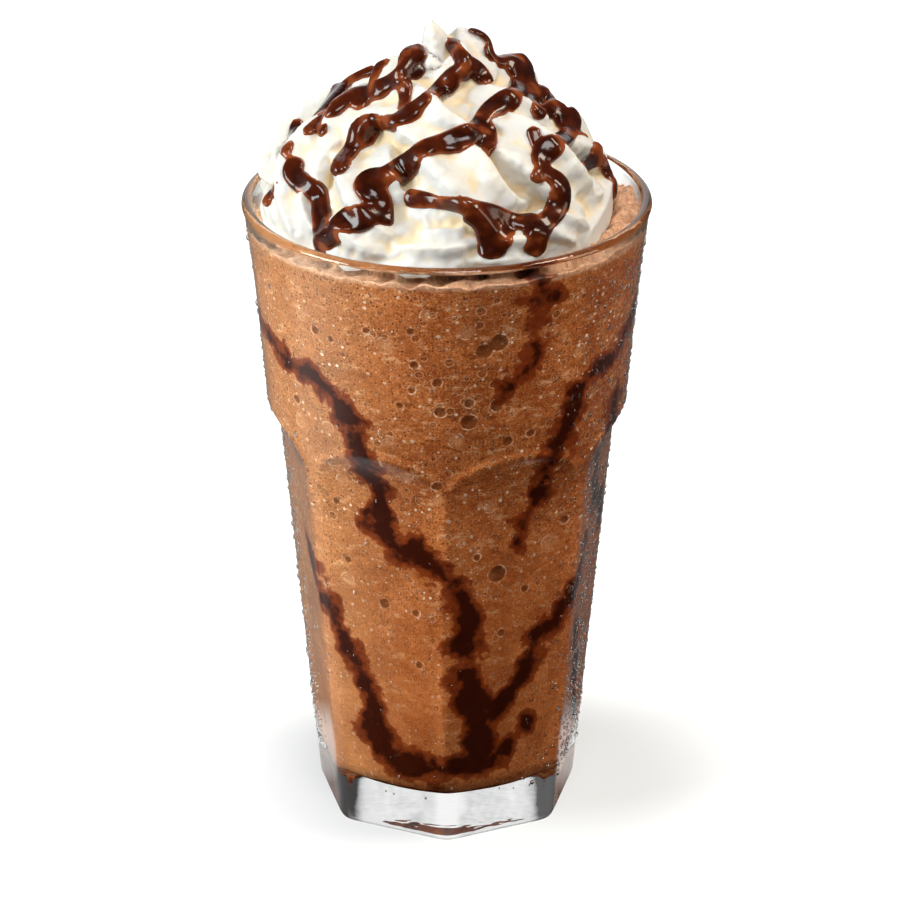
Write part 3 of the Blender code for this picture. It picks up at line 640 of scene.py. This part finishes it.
def cream_material():
    make = Shader("whipped_cream")
    where = make.place()
    cloud = make.steps(make.noise(where, 0.12), 0.45, 0.7, 0.0, 0.45)
    # painted shade: warmer and darker in the hollows
    base = make.mix(make.steps(make.attribute("hollow"), 0.0, 0.6), *CREAM_AND_HOLLOW_SHADE)
    grain = make.noise(where, 1.6, 4.0, 0.7)
    pores = make.add("TexVoronoi", {"Vector": where, "Scale": 1.1}).outputs["Distance"]
    height = make.plus(grain, make.steps(pores, 0.0, 0.16, -0.6, 0.0))
    return make.finish(make.principled(
        Base_Color=make.paint(base, CREAM_CLOUD, cloud),
        Roughness=make.steps(grain, 0.3, 0.7, 0.38, 0.55), Specular_IOR_Level=0.4,
        Subsurface_Weight=0.35, Subsurface_Radius=(0.0022, 0.0016, 0.0009),
        Subsurface_Scale=1.0, Normal=make.bump(height, 0.22, 0.0004)))


def sauce_material():
    make = Shader("chocolate_sauce")
    where = make.place()
    swirl = make.noise(where, 0.22)
    deep = make.plus(make.attribute("thick"), make.times(make.minus(swirl, 0.5), 1.6))
    base = make.mix(make.steps(deep, 0.1, 0.8), *SAUCE)
    return make.finish(make.principled(
        Base_Color=make.paint(base, SAUCE_DEEP, make.steps(deep, 0.6, 1.6)),
        Roughness=make.steps(swirl, 0.3, 0.7, 0.10, 0.18), Specular_IOR_Level=0.32,
        Subsurface_Weight=0.06, Subsurface_Radius=(0.0016, 0.0006, 0.0002),
        Subsurface_Scale=1.0, Normal=make.bump(make.noise(where, 0.5, 2.0), 0.1, 0.0006)))


def water_material():
    make = Shader("water_drops")
    rough = make.steps(make.noise(make.place(), 0.8, 2.0), 0.4, 0.8, 0.0, 0.04)
    return make.see_through(make.principled(Base_Color=WATER, Roughness=rough, IOR=1.33,
                                            Transmission_Weight=1.0))


def surroundings(make, across, along, backdrop_edge):
    """Brightness round the glass by direction: white behind, a softbox on the left, and dark
    in front and at the right."""
    turned = make.math("ARCTAN2", across, make.times(along, -1.0))
    away = make.math("ABSOLUTE", turned)
    backdrop = [pi - edge for edge in reversed(backdrop_edge)]
    front = [radians(edge) for edge in FRONT_EDGE]
    edges = [radians(edge) for edge in SOFTBOX_EDGES]
    beside = make.times(make.steps(away, *backdrop, SIDE_DIMNESS, 1.0),
                        make.steps(away, *front, FRONT_DIMNESS, 1.0))
    softbox = make.times(make.steps(turned, *edges[:2], SOFTBOX_SIDE, 1.0),
                         make.steps(turned, *edges[2:], SOFTBOX, 0.0))
    return make.math("MAXIMUM", beside, softbox)


def floor_material():
    """White; glass shows it dimmer beside and in front, as between a studio's dark cards."""
    make = Shader("white_table")
    where = make.place()
    base = make.mix(make.noise(where, 0.004), *TABLE)
    # painted light: the table glows, dimmer near the foot and to its right as a painted shadow,
    # fully away from it
    painted_glow = make.steps(make.vector("DISTANCE", where, PAINTED_SHADOW_CENTRE)["Value"],
                      *PAINTED_GLOW_REACH, *TABLE_PAINTED_GLOW)
    across, along, _ = make.split(where)
    away = make.vector("LENGTH", where)["Value"]
    behind = make.times(make.steps(away, *BRIGHT_REACH, 1.0, 0.0),
                        make.steps(along, *BRIGHT_BACK))
    path = make.add("LightPath").outputs
    seen = make.math("MAXIMUM", surroundings(make, across, along, TABLE_EDGE), behind)
    seen = make.math("MAXIMUM", seen, path["Is Camera Ray"])
    bright = make.add("BsdfDiffuse", {0: make.mix(seen, (0.0, 0.0, 0.0), base)}).outputs[0]
    lift = make.add("Emission", {0: TABLE_GLOW_COLOUR, 1: make.times(painted_glow, seen)}).outputs[0]
    both = make.add("AddShader", {0: bright, 1: lift}).outputs[0]
    held = make.add("BsdfDiffuse", {0: TABLE_BOUNCE}).outputs[0]
    return make.finish(make.add("MixShader", {
        0: path["Is Diffuse Ray"], 1: both, 2: held}).outputs[0])


# --- tumbler ---
def soft_min(first, second, softness):
    low = np.minimum(first, second)
    return low - softness * np.log1p(np.exp(-np.abs(first - second) / softness))


def round_wall_radius(height):
    lean = (RIM_RADIUS - FLARE - SHOULDER_RADIUS) / (RIM_HEIGHT - SHOULDER_HEIGHT)
    flare = np.maximum(0.0, (height - RIM_HEIGHT + FLARE_HEIGHT) / FLARE_HEIGHT)
    return SHOULDER_RADIUS + lean * (height - SHOULDER_HEIGHT) + FLARE * flare ** 2


def flat_distance(height):
    """From the axis to the flat part of a panel."""
    return cos(pi / PANELS) * (RIDGE_FOOT_RADIUS + RIDGE_SLOPE * height)


def panel_distance(height):
    rise = np.maximum(0.0, (height - RUN_OUT_HEIGHT) / (ARCH_HEIGHT - RUN_OUT_HEIGHT))
    run_out = round_wall_radius(ARCH_HEIGHT) - flat_distance(ARCH_HEIGHT)
    return flat_distance(height) + run_out * rise ** RUN_OUT_POWER


def panel_offset(angle):
    """How far an angle is from the middle of its panel; a ridge faces -Y."""
    return np.abs((angle + pi / 2) % PITCH - PITCH / 2)


def pressed_radius(angle, height):
    """Outside radius of the tumbler: the round wall, pressed in by the seven panels."""
    offset = panel_offset(angle)
    panel = panel_distance(height)
    flat = soft_min(panel / np.cos(offset), panel / np.cos(PITCH - offset), RIDGE_ROUNDING)
    return soft_min(round_wall_radius(height), flat, ARCH_ROUNDING)


def cavity_radius(height):
    lower = (CAVITY_WAIST_RADIUS - CAVITY_FOOT_RADIUS) / (CAVITY_WAIST_HEIGHT - CAVITY_FOOT_HEIGHT)
    lip = RIM_RADIUS - LIP_THICKNESS
    upper = (lip - CAVITY_WAIST_RADIUS) / (RIM_HEIGHT - CAVITY_WAIST_HEIGHT)
    above = height - CAVITY_WAIST_HEIGHT
    blend = 0.5 * (above + np.sqrt(above ** 2 + CAVITY_WAIST_BEND ** 2))
    return CAVITY_WAIST_RADIUS + lower * above + (upper - lower) * blend


def cavity_outline(grow, corner_steps):
    """Radii and heights of the cavity's floor and corner, from near the axis outward."""
    centre_height = FLOOR_THICKNESS + CAVITY_CORNER
    centre_radius = cavity_radius(centre_height) - CAVITY_CORNER
    corner = CAVITY_CORNER + grow
    floor = [(r, FLOOR_THICKNESS - grow) for r in np.linspace(1 * MM, centre_radius, 8)]
    turns = np.linspace(0, pi / 2, corner_steps + 1)[1:]
    return floor + [(centre_radius + corner * sin(t), centre_height - corner * cos(t))
                    for t in turns]


def build_glass():
    angles = circle(GLASS_AROUND)
    rows = cavity_outline(0.0, GLASS_CORNER_STEPS)
    rows += [(cavity_radius(z), z) for z in np.linspace(
        FLOOR_THICKNESS + CAVITY_CORNER + 1 * MM, RIM_HEIGHT - 2 * MM, CAVITY_ROWS)]
    lip = LIP_THICKNESS / 2
    rows += [(RIM_RADIUS - lip + lip * cos(t), RIM_HEIGHT - lip + lip * sin(t))
             for t in np.linspace(pi, 0, LIP_ROWS)]
    for top, bottom, step in OUTSIDE_ROWS:
        rows += [(pressed_radius(angles, z), z)
                 for z in np.arange(top * MM, bottom * MM, -step * MM)]
    for t in np.linspace(0, pi / 2, FOOT_ROWS):
        height = FOOT_ROUNDING * (1 - sin(t))
        rows.append((pressed_radius(angles, height) + FOOT_ROUNDING * (cos(t) - 1), height))
    sole = pressed_radius(angles, 0.0) - FOOT_ROUNDING
    rows += [(sole * share, 0.0) for share in SOLE_SHARES]
    mesh = ring_mesh("tumbler", turned_rings(rows, angles))
    mesh.materials.append(glass_material())
    tumbler = add_object("tumbler", mesh)
    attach(tumbler, "root")
    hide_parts("glass")


# --- drink ---
def route_distance(angle, height, route, radius):
    """Distance in millimetres from each point of the wall to a route on it."""
    across = radius / MM
    nearest = np.full(angle.shape, 1e3)
    for (a0, z0), (a1, z1) in zip(route, route[1:]):
        ax = wrapped(angle - radians(a0)) * across
        az = height / MM - z0
        bx = radians(a1 - a0) * across
        bz = z1 - z0
        share = np.clip((ax * bx + az * bz) / (bx * bx + bz * bz), 0, 1)
        nearest = np.minimum(nearest, np.hypot(ax - share * bx, az - share * bz))
    return nearest


def sauce_field(angle, height, radius):
    """How far inside a streak a point of the wall is, in millimetres; below 0 outside."""
    field = np.full(angle.shape, OUTSIDE)
    laid = [(*streak, 0) for streak in STREAKS]
    laid += [(*STREAKS[index], turn) for index, turn in BACK_STREAKS]
    for half, route, turn in laid:
        moved = [(a + turn, z) for a, z in route]
        field = np.maximum(field, half - route_distance(angle, height, moved, radius))
    return field


def bubble_field(angle, height, radius, bubbles):
    """How far inside a large bubble a point of the wall is, in millimetres."""
    field = np.full(angle.shape, OUTSIDE)
    for degrees, level, size in bubbles:
        across = wrapped(angle - radians(degrees))
        away = np.hypot(across * radius / MM, height / MM - level)
        field = np.maximum(field, size - away)
    return field


def back_bubbles(seed):
    chance = random.Random(seed)
    return [tuple(chance.uniform(*ends) for ends in BACK_BUBBLE_RANGES)
            for _ in range(BACK_BUBBLES)]


def froth(points, seed):
    """Soft lumps of the drink's open surface, about 1 high, from many turned waves."""
    chance = np.random.RandomState(seed)
    lumps = np.zeros(len(points))
    for _ in range(LUMP_WAVES):
        direction = chance.normal(size=2)
        direction /= np.linalg.norm(direction)
        length = chance.uniform(*LUMP_LENGTHS) * MM
        phase = chance.uniform(0, 2 * pi)
        lumps += np.sin(points[:, :2] @ direction * 2 * pi / length + phase)
    return lumps / LUMP_WAVES ** 0.5


def ridge_filling(angle, height):
    """How much further the drink reaches into the wall where the outside stands out."""
    flat = flat_distance(height)
    start, full, fading, end = [edge * MM for edge in FILLING_ENDS]
    present = fade(height, start, full) * fade(height, end, fading)
    offset = panel_offset(angle)
    below_arch = (round_wall_radius(height) - panel_distance(height) / np.cos(offset)) / MM
    to_ridge = (PITCH / 2 - offset) * flat / MM
    lines = np.exp(-(to_ridge / RIDGE_LINE) ** 2) * np.clip(below_arch, 0, 1)
    lines = np.maximum(lines, np.exp(-(below_arch / ARCH_LINE) ** 2))
    rise = RIDGE_FILLING * (pressed_radius(angle, height) - flat)
    return present * (rise + RIDGE_BEAD * lines)


def build_drink():
    profile = cavity_outline(WETTING, DRINK_CORNER_STEPS)
    profile += [(cavity_radius(z) + WETTING, z) for z in np.linspace(
        FLOOR_THICKNESS + CAVITY_CORNER + 0.6 * MM, DRINK_LEVEL, DRINK_ROWS)]
    edge = profile[-1][0]
    for ends in ((edge - 0.5 * MM, OPEN_RADIUS, 24), (OPEN_RADIUS - 3 * MM, 1 * MM, 8)):
        profile += [(r, DRINK_LEVEL) for r in np.linspace(*ends)]
    mesh = ring_mesh("drink", turned_rings(profile, circle(DRINK_AROUND)))
    points = mesh_points(mesh)
    flat, height = points[:, :2], points[:, 2]       # views: changing them moves the points
    radius = np.hypot(points[:, 0], points[:, 1])
    angle = np.arctan2(points[:, 0], -points[:, 1])  # from -Y, toward +X
    spread = np.maximum(radius, MM)
    on_wall = fade(radius - cavity_radius(height), -1 * MM, 0)
    filling = on_wall * ridge_filling(angle - pi / 2, height)
    flat *= (1 + filling / spread)[:, None]

    top = fade(height - DRINK_LEVEL, -6 * MM, 0) ** 2
    near_wall = fade(radius, OPEN_RADIUS, OPEN_RADIUS + 6 * MM)
    lumps = OPEN_LUMPS * froth(points, 4)
    bare = np.array([bareness(turn - pi / 2) for turn in angle])
    bare *= fade(radius - CREAM_REACH + BARE_STRIP, 0, 1.5 * MM)
    height += top * near_wall * (lumps - OPEN_DIP + bare * (OPEN_RISE + lumps))

    dark = bubble_field(angle, height, radius, BUBBLES + back_bubbles(1))
    pale = bubble_field(angle, height, radius, PALE_BUBBLES + back_bubbles(2))
    pressed = on_wall * DIMPLE * MM * np.clip(np.maximum(dark, 0.5 * pale), 0, 2)
    flat *= (1 - pressed / spread)[:, None]
    set_mesh_points(mesh, points)
    sauce = sauce_field(angle, height, radius)
    # painted shade: the underside takes the dark colour of a streak
    sauce[height < FLOOR_THICKNESS + 1 * MM] = UNDERSIDE_PAINTED_SHADE
    point_attribute(mesh, "sauce", sauce)
    point_attribute(mesh, "bubble", dark)
    point_attribute(mesh, "pale_bubble", pale)
    mesh.materials.append(drink_material())
    drink = add_object("blended_drink", mesh)
    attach(drink, "root")
    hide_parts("drink")


# --- whipped cream: the same ropes, lobes and core as the solid, with a finer skin ---
def star_section():
    """Outline of the piping nozzle: a unit circle with soft grooves between its teeth."""
    outline = bpy.data.curves.new("nozzle", "CURVE")
    outline.dimensions = "2D"
    loop = outline.splines.new("POLY")
    count = NOZZLE_TEETH * 10
    loop.points.add(count - 1)
    loop.use_cyclic_u = True
    for i, point in enumerate(loop.points):
        angle = 2 * pi * i / count
        groove = sqrt(sin(angle * NOZZLE_TEETH / 2) ** 2 + 0.04) - 0.2
        radius = 1 - NOZZLE_DEPTH * groove
        point.co = (radius * cos(angle), radius * sin(angle), 0, 1)
    return add_object("nozzle", outline)


def sweep(points, radii, tilts, section):
    """A closed tube along the points, with the section scaled and turned at each one."""
    curve = bpy.data.curves.new("rope", "CURVE")
    curve.dimensions = "3D"
    curve.bevel_mode = "OBJECT"
    curve.bevel_object = section
    curve.use_fill_caps = True
    spline = curve.splines.new("POLY")
    spline.points.add(len(points) - 1)
    for place, point, radius, tilt in zip(spline.points, points, radii, tilts):
        place.co, place.radius, place.tilt = (*point, 1), radius, tilt
    rope = add_object("rope", curve)
    mesh = evaluated_mesh(rope)
    bpy.data.objects.remove(rope)
    return mesh


def rope_route():
    """The piped rope: a rising, tightening coil that wavers, then a pull up to the peak."""
    points, radii = [], []
    wave = 0.0
    for i in range(ROPE_STEPS):
        rise = i / (ROPE_STEPS - 1)
        angle = ROPE_START + 2 * pi * ROPE_TURNS * rise
        coil = COIL_CENTRE + COIL_WIDTH * (1 - rise) ** 0.95
        step = 2 * pi * ROPE_TURNS / (ROPE_STEPS - 1) * coil
        wave += 2 * pi * step / (WAVE_LENGTH - WAVE_TIGHTENING * rise)
        phase = wave + 0.8 * sin(1.7 * angle + 4.2) + 0.5 * sin(3.1 * angle + 1.1)
        swing = (1 - 0.45 * rise) * (1 + 0.35 * sin(2.6 * angle + 0.4))
        radius = coil + WAVE_OUT * swing * sin(phase)
        height = COIL_FOOT + COIL_RISE * rise + WAVE_UP * swing * cos(phase + 0.5)
        height += 1.0 * MM * sin(2.3 * angle + 2.0)
        points.append(polar(radius, angle, RIM_HEIGHT + height))
        thickness = ROPE_THICKNESS - ROPE_THINNING * rise
        radii.append(thickness * (1 + 0.1 * sin(phase + 1.9)))
    top = PEAK + Vector((0, 0, RIM_HEIGHT))
    leaving = (points[-1] - points[-2]).normalized() * 6 * MM + Vector((0, 0, 2 * MM))
    pull = [points[-1], points[-1] + leaving, top - Vector((-0.4, 0, 12)) * MM, top]
    base = radii[-1]
    for i in range(1, PULL_STEPS + 1):
        t = i / PULL_STEPS
        weights = ((1 - t) ** 3, 3 * t * (1 - t) ** 2, 3 * t * t * (1 - t), t ** 3)
        points.append(sum((w * p for w, p in zip(weights, pull)), Vector()))
        radii.append(base * (1 - t) ** 0.6 + 0.15 * MM)
    length = 0.0
    tilts = [0.0]
    for before, point in zip(points, points[1:]):
        length += (point - before).length
        tilts.append(length * ROPE_TWIST * 2 * pi)
    return points, radii, tilts


def bareness(angle):
    """1 in the middle of the side where froth shows beside the cream, 0 away from it."""
    return max(0.0, 1 - (wrapped(angle - BARE_SIDE) / BARE_WIDTH) ** 2) ** 1.5


def cream_reach(angle):
    return CREAM_REACH - BARE_STRIP * bareness(angle)


def base_lobes():
    """Lobes pressed against the glass all round the foot of the mound, each a short rope."""
    chance = random.Random(LOBE_SEED)
    lobes = []
    for i in range(LOBES):
        angle = 2 * pi * (i + chance.uniform(-0.25, 0.25)) / LOBES
        reach = chance.uniform(*LOBE_LENGTH)
        thick = chance.uniform(*LOBE_THICKNESS) * MM
        lean = chance.uniform(*LOBE_LEAN) * MM
        lift = chance.uniform(*LOBE_LIFT) * MM
        points, radii, tilts = [], [], []
        for step in range(15):
            along = step / 7 - 1
            at = angle + reach * along
            out = cream_reach(at) - 0.85 * thick - 2.5 * MM * along ** 2
            points.append(polar(out, at, RIM_HEIGHT + lift + lean * along))
            radii.append(thick * (1.02 - along ** 2) ** 0.5)
            tilts.append(along * 1.2 + i)
        lobes.append((points, radii, tilts))
    return lobes


def core_mesh():
    """The solid middle of the mound, hidden behind the ropes."""
    profile = [(CORE[0][0] * MM, CREAM_UNDERSIDE)]
    profile += [(radius * MM, RIM_HEIGHT + height * MM) for radius, height in CORE]
    return ring_mesh("core", turned_rings(profile, circle(CORE_AROUND, 0.0)))


def keep_largest_shell(mesh):
    """Fill sealed hollows and drop scraps: only the shell with the most points stays."""
    with edited(mesh) as body:
        left = set(body.verts)
        shells = []
        while left:
            shell = [left.pop()]
            for vert in shell:
                near = {edge.other_vert(vert) for edge in vert.link_edges} & left
                left -= near
                shell.extend(near)
            shells.append(shell)
        shells.sort(key=len)
        scraps = [vert for shell in shells[:-1] for vert in shell]
        bmesh.ops.delete(body, geom=scraps, context="VERTS")


def hold_in_glass(mesh):
    """Press the cream up to the drink's level and in from the glass."""
    points = mesh_points(mesh)
    points[:, 2] = np.maximum(points[:, 2], CREAM_UNDERSIDE)
    radius = np.hypot(points[:, 0], points[:, 1])
    reach = np.array([cream_reach(atan2(y, x)) for x, y in points[:, :2]])
    points[:, :2] *= np.minimum(1.0, reach / np.maximum(radius, 1e-6))[:, None]
    set_mesh_points(mesh, points)


def hollowness(mesh):
    """How far each point lies below its smoothed surroundings, in millimetres."""
    points = mesh_points(mesh)
    ends = read(mesh.edges, "vertices", 2, np.int64)
    normals = read(mesh.vertices, "normal", 3)
    count = np.bincount(ends.ravel(), minlength=len(points))[:, None]
    soft = points.copy()
    for _ in range(HOLLOW_ROUNDS):
        total = np.zeros_like(soft)
        for here, there in (ends.T, ends.T[::-1]):
            for axis in range(3):
                total[:, axis] += np.bincount(here, soft[there, axis], len(points))
        soft = 0.5 * soft + 0.5 * total / np.maximum(count, 1)
    return np.einsum("ij,ij->i", soft - points, normals) / MM


def roughen(mesh):
    """Small folds and pits of whipped cream, moved out of the smooth piped shape."""
    moved = []
    for vertex in mesh.vertices:
        spot = vertex.co / MM
        fold = noise.turbulence(spot / FOLD_SIZE, 2, True) - FOLD_MIDDLE
        pit = noise.noise(spot / PIT_SIZE)
        moved.append(vertex.co + vertex.normal * (CREAM_FOLDS * fold + CREAM_PITS * pit))
    for vertex, place in zip(mesh.vertices, moved):
        vertex.co = place
    mesh.update()


def build_cream():
    section = star_section()
    ropes = [rope_route()] + base_lobes()
    mesh = join_meshes([sweep(*rope, section) for rope in ropes] + [core_mesh()])
    bpy.data.objects.remove(section)
    cream = add_object("piped_cream", mesh)
    fuse(cream, CREAM_VOXEL, CREAM_SOFTENING)
    roughen(cream.data)
    hold_in_glass(cream.data)
    keep_largest_shell(cream.data)
    cream.data.shade_smooth()
    point_attribute(cream.data, "hollow", hollowness(cream.data))
    cream.data.materials.append(cream_material())
    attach(cream, "root")
    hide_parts("whipped_cream")
    return cream


# --- chocolate drizzle ---
def smooth_route(route, step):
    """Points every step or so along a smooth curve through the route's own points."""
    ends = [route[0] * 2 - route[1]] + route + [route[-1] * 2 - route[-2]]
    points = []
    for before, start, stop, after in zip(ends, ends[1:], ends[2:], ends[3:]):
        pieces = max(1, round((stop - start).length / step))
        for i in range(pieces):
            t = i / pieces
            points.append(0.5 * (2 * start + (stop - before) * t
                                 + (2 * before - 5 * start + 4 * stop - after) * t ** 2
                                 + (3 * start - before - 3 * stop + after) * t ** 3))
    return points + [route[-1]]


def fallen_point(sheet_point, spin, surface):
    """Where sauce poured through a point of the sheet lands on the cream."""
    centre = Vector((0, 0, RIM_HEIGHT))
    toward = (centre - POUR_POINT).normalized()
    across = toward.cross(Vector((0, 0, 1))).normalized()
    target = centre + across * sheet_point.x + across.cross(toward) * sheet_point.y
    pour = spin @ POUR_POINT
    target = spin @ target
    hit = surface.ray_cast(pour, (target - pour).normalized())
    if hit[0] is None:
        hit = surface.find_nearest(target)
    return hit[0]


def evened(values, rounds):
    """Vectors in a row, each drawn toward its neighbours; the first and last stay."""
    for _ in range(rounds):
        middle = [(a + 2 * b + c) / 4 for a, b, c in zip(values, values[1:], values[2:])]
        values = [values[0]] + middle + [values[-1]]
    return values


def draped_strand(strand, turn, surface, seed):
    """Middle line, upward directions and half widths of a ribbon laid on the cream."""
    half, swelling, route = strand
    chance = random.Random(seed)
    first = chance.uniform(0, 6)
    second = chance.uniform(0, 6)
    spin = Matrix.Rotation(turn, 4, "Z")
    sheet = smooth_route([Vector(point) * MM for point in route], DRIZZLE_STEP)
    points = evened([fallen_point(point, spin, surface) for point in sheet], 6)
    pour = spin @ POUR_POINT
    laid = []
    for point in points:
        hit = surface.ray_cast(pour, (point - pour).normalized())
        above = hit[0] is not None and hit[3] < (point - pour).length
        laid.append(hit[0] if above else point)
    laid = evened(laid, 3)
    ups = evened([surface.find_nearest(point)[1] for point in laid], 16)
    widths = []
    for i in range(len(laid)):
        along = i / (len(laid) - 1)
        travel = i * DRIZZLE_STEP / MM
        bead = sin(first + 1.1 * travel / half) + sin(second + 0.5 * travel)
        width = half * (1 + (swelling - 1) * along ** 2) * (1 + DRIZZLE_BEADING * bead / 2)
        to_end = min(i, len(laid) - 1 - i) * DRIZZLE_STEP / MM / half
        rounding = sqrt(min(1.0, 0.06 + to_end * (2 - min(to_end, 1.0))))
        widths.append(width * rounding * DRIZZLE_WIDENING * MM)
    return laid, [up.normalized() for up in ups], widths


def held_inside(point):
    """The point, kept above the drink and clear of the glass."""
    inward = min(1.0, DRIZZLE_REACH / hypot(point.x, point.y))
    return Vector((point.x * inward, point.y * inward, max(point.z, CREAM_UNDERSIDE)))


def ribbon_mesh(points, ups, widths, surface):
    """A ribbon whose edges lie on the cream: a crown over an underside sunk into it."""
    lanes = np.linspace(-1, 1, LANES)
    highest, lowest = [limit * MM for limit in DRIZZLE_FOLLOWING]
    depths = []
    frames = []
    for i, (point, up, width) in enumerate(zip(points, ups, widths)):
        ahead = points[min(i + 1, len(points) - 1)] - points[max(i - 1, 0)]
        side = ahead.cross(up).normalized()
        frames.append((point, up, side, width))
        row = []
        for lane in lanes:
            start = point + side * lane * width - up * highest
            hit = surface.ray_cast(start, -up)
            drop = hit[3] + highest if hit[0] is not None else lowest
            row.append(min(drop, lowest))
        depths.append(row)
    depths = np.array(depths)
    for _ in range(6):
        depths[1:-1] = (depths[:-2] + 2 * depths[1:-1] + depths[2:]) / 4
        depths[:, 1:-1] = (depths[:, :-2] + 2 * depths[:, 1:-1] + depths[:, 2:]) / 4
    rings = []
    for (point, up, side, width), row in zip(frames, depths):
        top, bottom = [], []
        for lane, depth in zip(lanes, row):
            base = point + side * lane * width - up * depth
            crown = DRIZZLE_HEIGHT * width * (1 - lane ** 4) ** 0.5
            top.append(held_inside(base + up * crown))
            bottom.append(held_inside(base - up * (0.25 * crown + DRIZZLE_SUNK)))
        rings.append([tuple(spot) for spot in top + bottom[::-1]])
    return ring_mesh("ribbon", np.array(rings))


def build_drizzle(cream):
    """Every strand on the cream, run together where they cross."""
    surface = BVHTree.FromPolygons([v.co.copy() for v in cream.data.vertices],
                                   [tuple(p.vertices) for p in cream.data.polygons])
    laid = [(strand, 0.0) for strand in STRANDS]
    laid += [(STRANDS[index], radians(turn)) for index, turn in BACK_STRANDS]
    ribbons = []
    for seed, (strand, turn) in enumerate(laid):
        ribbons.append(ribbon_mesh(*draped_strand(strand, turn, surface, seed), surface))
    sauce = add_object("chocolate_drizzle", join_meshes(ribbons))
    fuse(sauce, DRIZZLE_VOXEL, DRIZZLE_SOFTENING)
    mesh = sauce.data
    thick = []
    for vertex in mesh.vertices:
        spot, normal, _, _ = surface.find_nearest(vertex.co)
        thick.append((vertex.co - spot).dot(normal) / MM)
    point_attribute(mesh, "thick", thick)
    mesh.shade_smooth()
    mesh.materials.append(sauce_material())
    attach(sauce, "root")
    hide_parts("whipped_cream")


# --- condensation ---
def drop_points(spot, outward, size, chance):
    """A flat round drop on the wall: rings round its crown and a point inside the wall."""
    side = outward.cross(Vector((0, 0, 1))).normalized()
    up = side.cross(outward)
    points = [spot + outward * 0.65 * size]
    for reach, height in ((0.65, 0.5), (1.0, 0.05)):
        for i in range(DROP_SIDES):
            turn = 2 * pi * i / DROP_SIDES
            out = reach * size * (1 + chance.uniform(-0.12, 0.12))
            points.append(spot + side * out * cos(turn) + up * 1.15 * out * sin(turn)
                          + outward * height * size)
    points.append(spot - outward * 0.4 * size)
    return points


def drop_faces(start):
    """Triangles and quads of one drop whose first point has this number."""
    last = start + 1 + 2 * DROP_SIDES
    inner = range(start + 1, start + 1 + DROP_SIDES)
    pairs = [(a, a + 1 if a < inner[-1] else inner[0]) for a in inner]
    faces = [(start, a, b) for a, b in pairs]
    faces += [(a, a + DROP_SIDES, b + DROP_SIDES, b) for a, b in pairs]
    return faces + [(last, b + DROP_SIDES, a + DROP_SIDES) for a, b in pairs]


def crowding(degrees):
    """How closely drops stand at a place round the glass, from 0 to 1."""
    return max(SPARSE_DROPS, *(1 - ((degrees - middle) / reach) ** 2
                               for middle, reach in CROWDED))


def build_drops():
    """Small flat drops on the outside of the tumbler, close together toward its sides."""
    chance = np.random.RandomState(DROP_SEED)
    least, spread, most, rarity = DROP_SIZES
    points, faces = [], []
    made = 0
    while made < DROPS:
        degrees = chance.uniform(-180, 180)
        height = chance.uniform(*DROP_HEIGHTS) * MM
        if chance.uniform() > crowding(degrees):
            continue
        angle = radians(degrees - 90)
        size = (least + spread * chance.uniform() + most * chance.uniform() ** rarity) * MM
        radius = float(pressed_radius(angle, height))
        slope = float(pressed_radius(angle, height + MM)) - radius
        turned = float(pressed_radius(angle + 0.01, height)) - radius
        outward = polar(1, angle, -slope / MM)
        around = Vector((-sin(angle), cos(angle), 0)) * (turned / 0.01 / radius)
        faces += drop_faces(len(points))
        points += drop_points(polar(radius, angle, height), (outward - around).normalized(),
                              size, chance)
        made += 1
    mesh = bpy.data.meshes.new("condensation")
    mesh.from_pydata([tuple(point) for point in points], [], faces)
    mesh.shade_smooth()
    mesh.materials.append(water_material())
    drops = add_object("condensation", mesh)
    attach(drops, "root")
    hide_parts("glass")


# --- stage ---
def area_light(name, azimuth, elevation, distance, width, height, power, colour):
    """A soft lamp aimed at the middle of the glass."""
    lamp = bpy.data.lights.new(name, "AREA")
    lamp.shape = "RECTANGLE"
    lamp.size = width
    lamp.size_y = height
    lamp.energy = power
    lamp.color = colour
    item = add_object(name, lamp)
    tilt = radians(elevation)
    item.location = polar(distance * cos(tilt), radians(azimuth - 90),
                          distance * sin(tilt) + LAMP_LIFT)
    aim = Vector((0, 0, LAMP_AIM)) - item.location
    item.rotation_euler = aim.to_track_quat("-Z", "Y").to_euler()


def light_stage():
    make = Shader("studio", bpy.data.worlds.new("studio"))
    bpy.context.scene.world = make.material
    across, along, up = make.split(make.add("TexCoord").outputs["Generated"])
    seen = make.times(surroundings(make, across, along, BACKDROP_EDGE),
                      make.steps(up, *OVERHEAD_EDGE, 1.0, OVERHEAD_DIMNESS))
    path = make.add("LightPath").outputs["Is Diffuse Ray"]
    strength = make.add("MapRange", {0: path, 3: seen, 4: WORLD_FILL}).outputs[0]
    sky = make.add("Background", {0: make.mix(seen, *WORLD_TINTS), 1: strength})
    make.add("OutputWorld", {0: sky.outputs[0]})
    for lamp in LAMPS:
        area_light(*lamp)


def build_floor():
    mesh = bpy.data.meshes.new("table")
    corners = ((-1, -1), (1, -1), (1, 1), (-1, 1))
    mesh.from_pydata([(x * TABLE_HALF, y * TABLE_HALF, -AIR_BELOW) for x, y in corners], [],
                     [(0, 1, 2, 3)])
    mesh.materials.append(floor_material())
    table = add_object("table", mesh)


def place_camera():
    view = bpy.data.cameras.new("view")
    view.sensor_width = SENSOR
    view.lens = FOCAL_PIXELS / FRAME_PIXELS * SENSOR
    view.clip_start = CLIP_START
    camera = add_object("view", view)
    camera.location = CAMERA_PLACE
    camera.rotation_euler = (radians(90 - CAMERA_DOWN), 0, 0)
    bpy.context.scene.camera = camera


build_glass()
build_drink()
piped = build_cream()
build_drizzle(piped)
build_drops()
build_floor()
light_stage()
place_camera()
bpy.context.scene.view_settings.view_transform = "Standard"
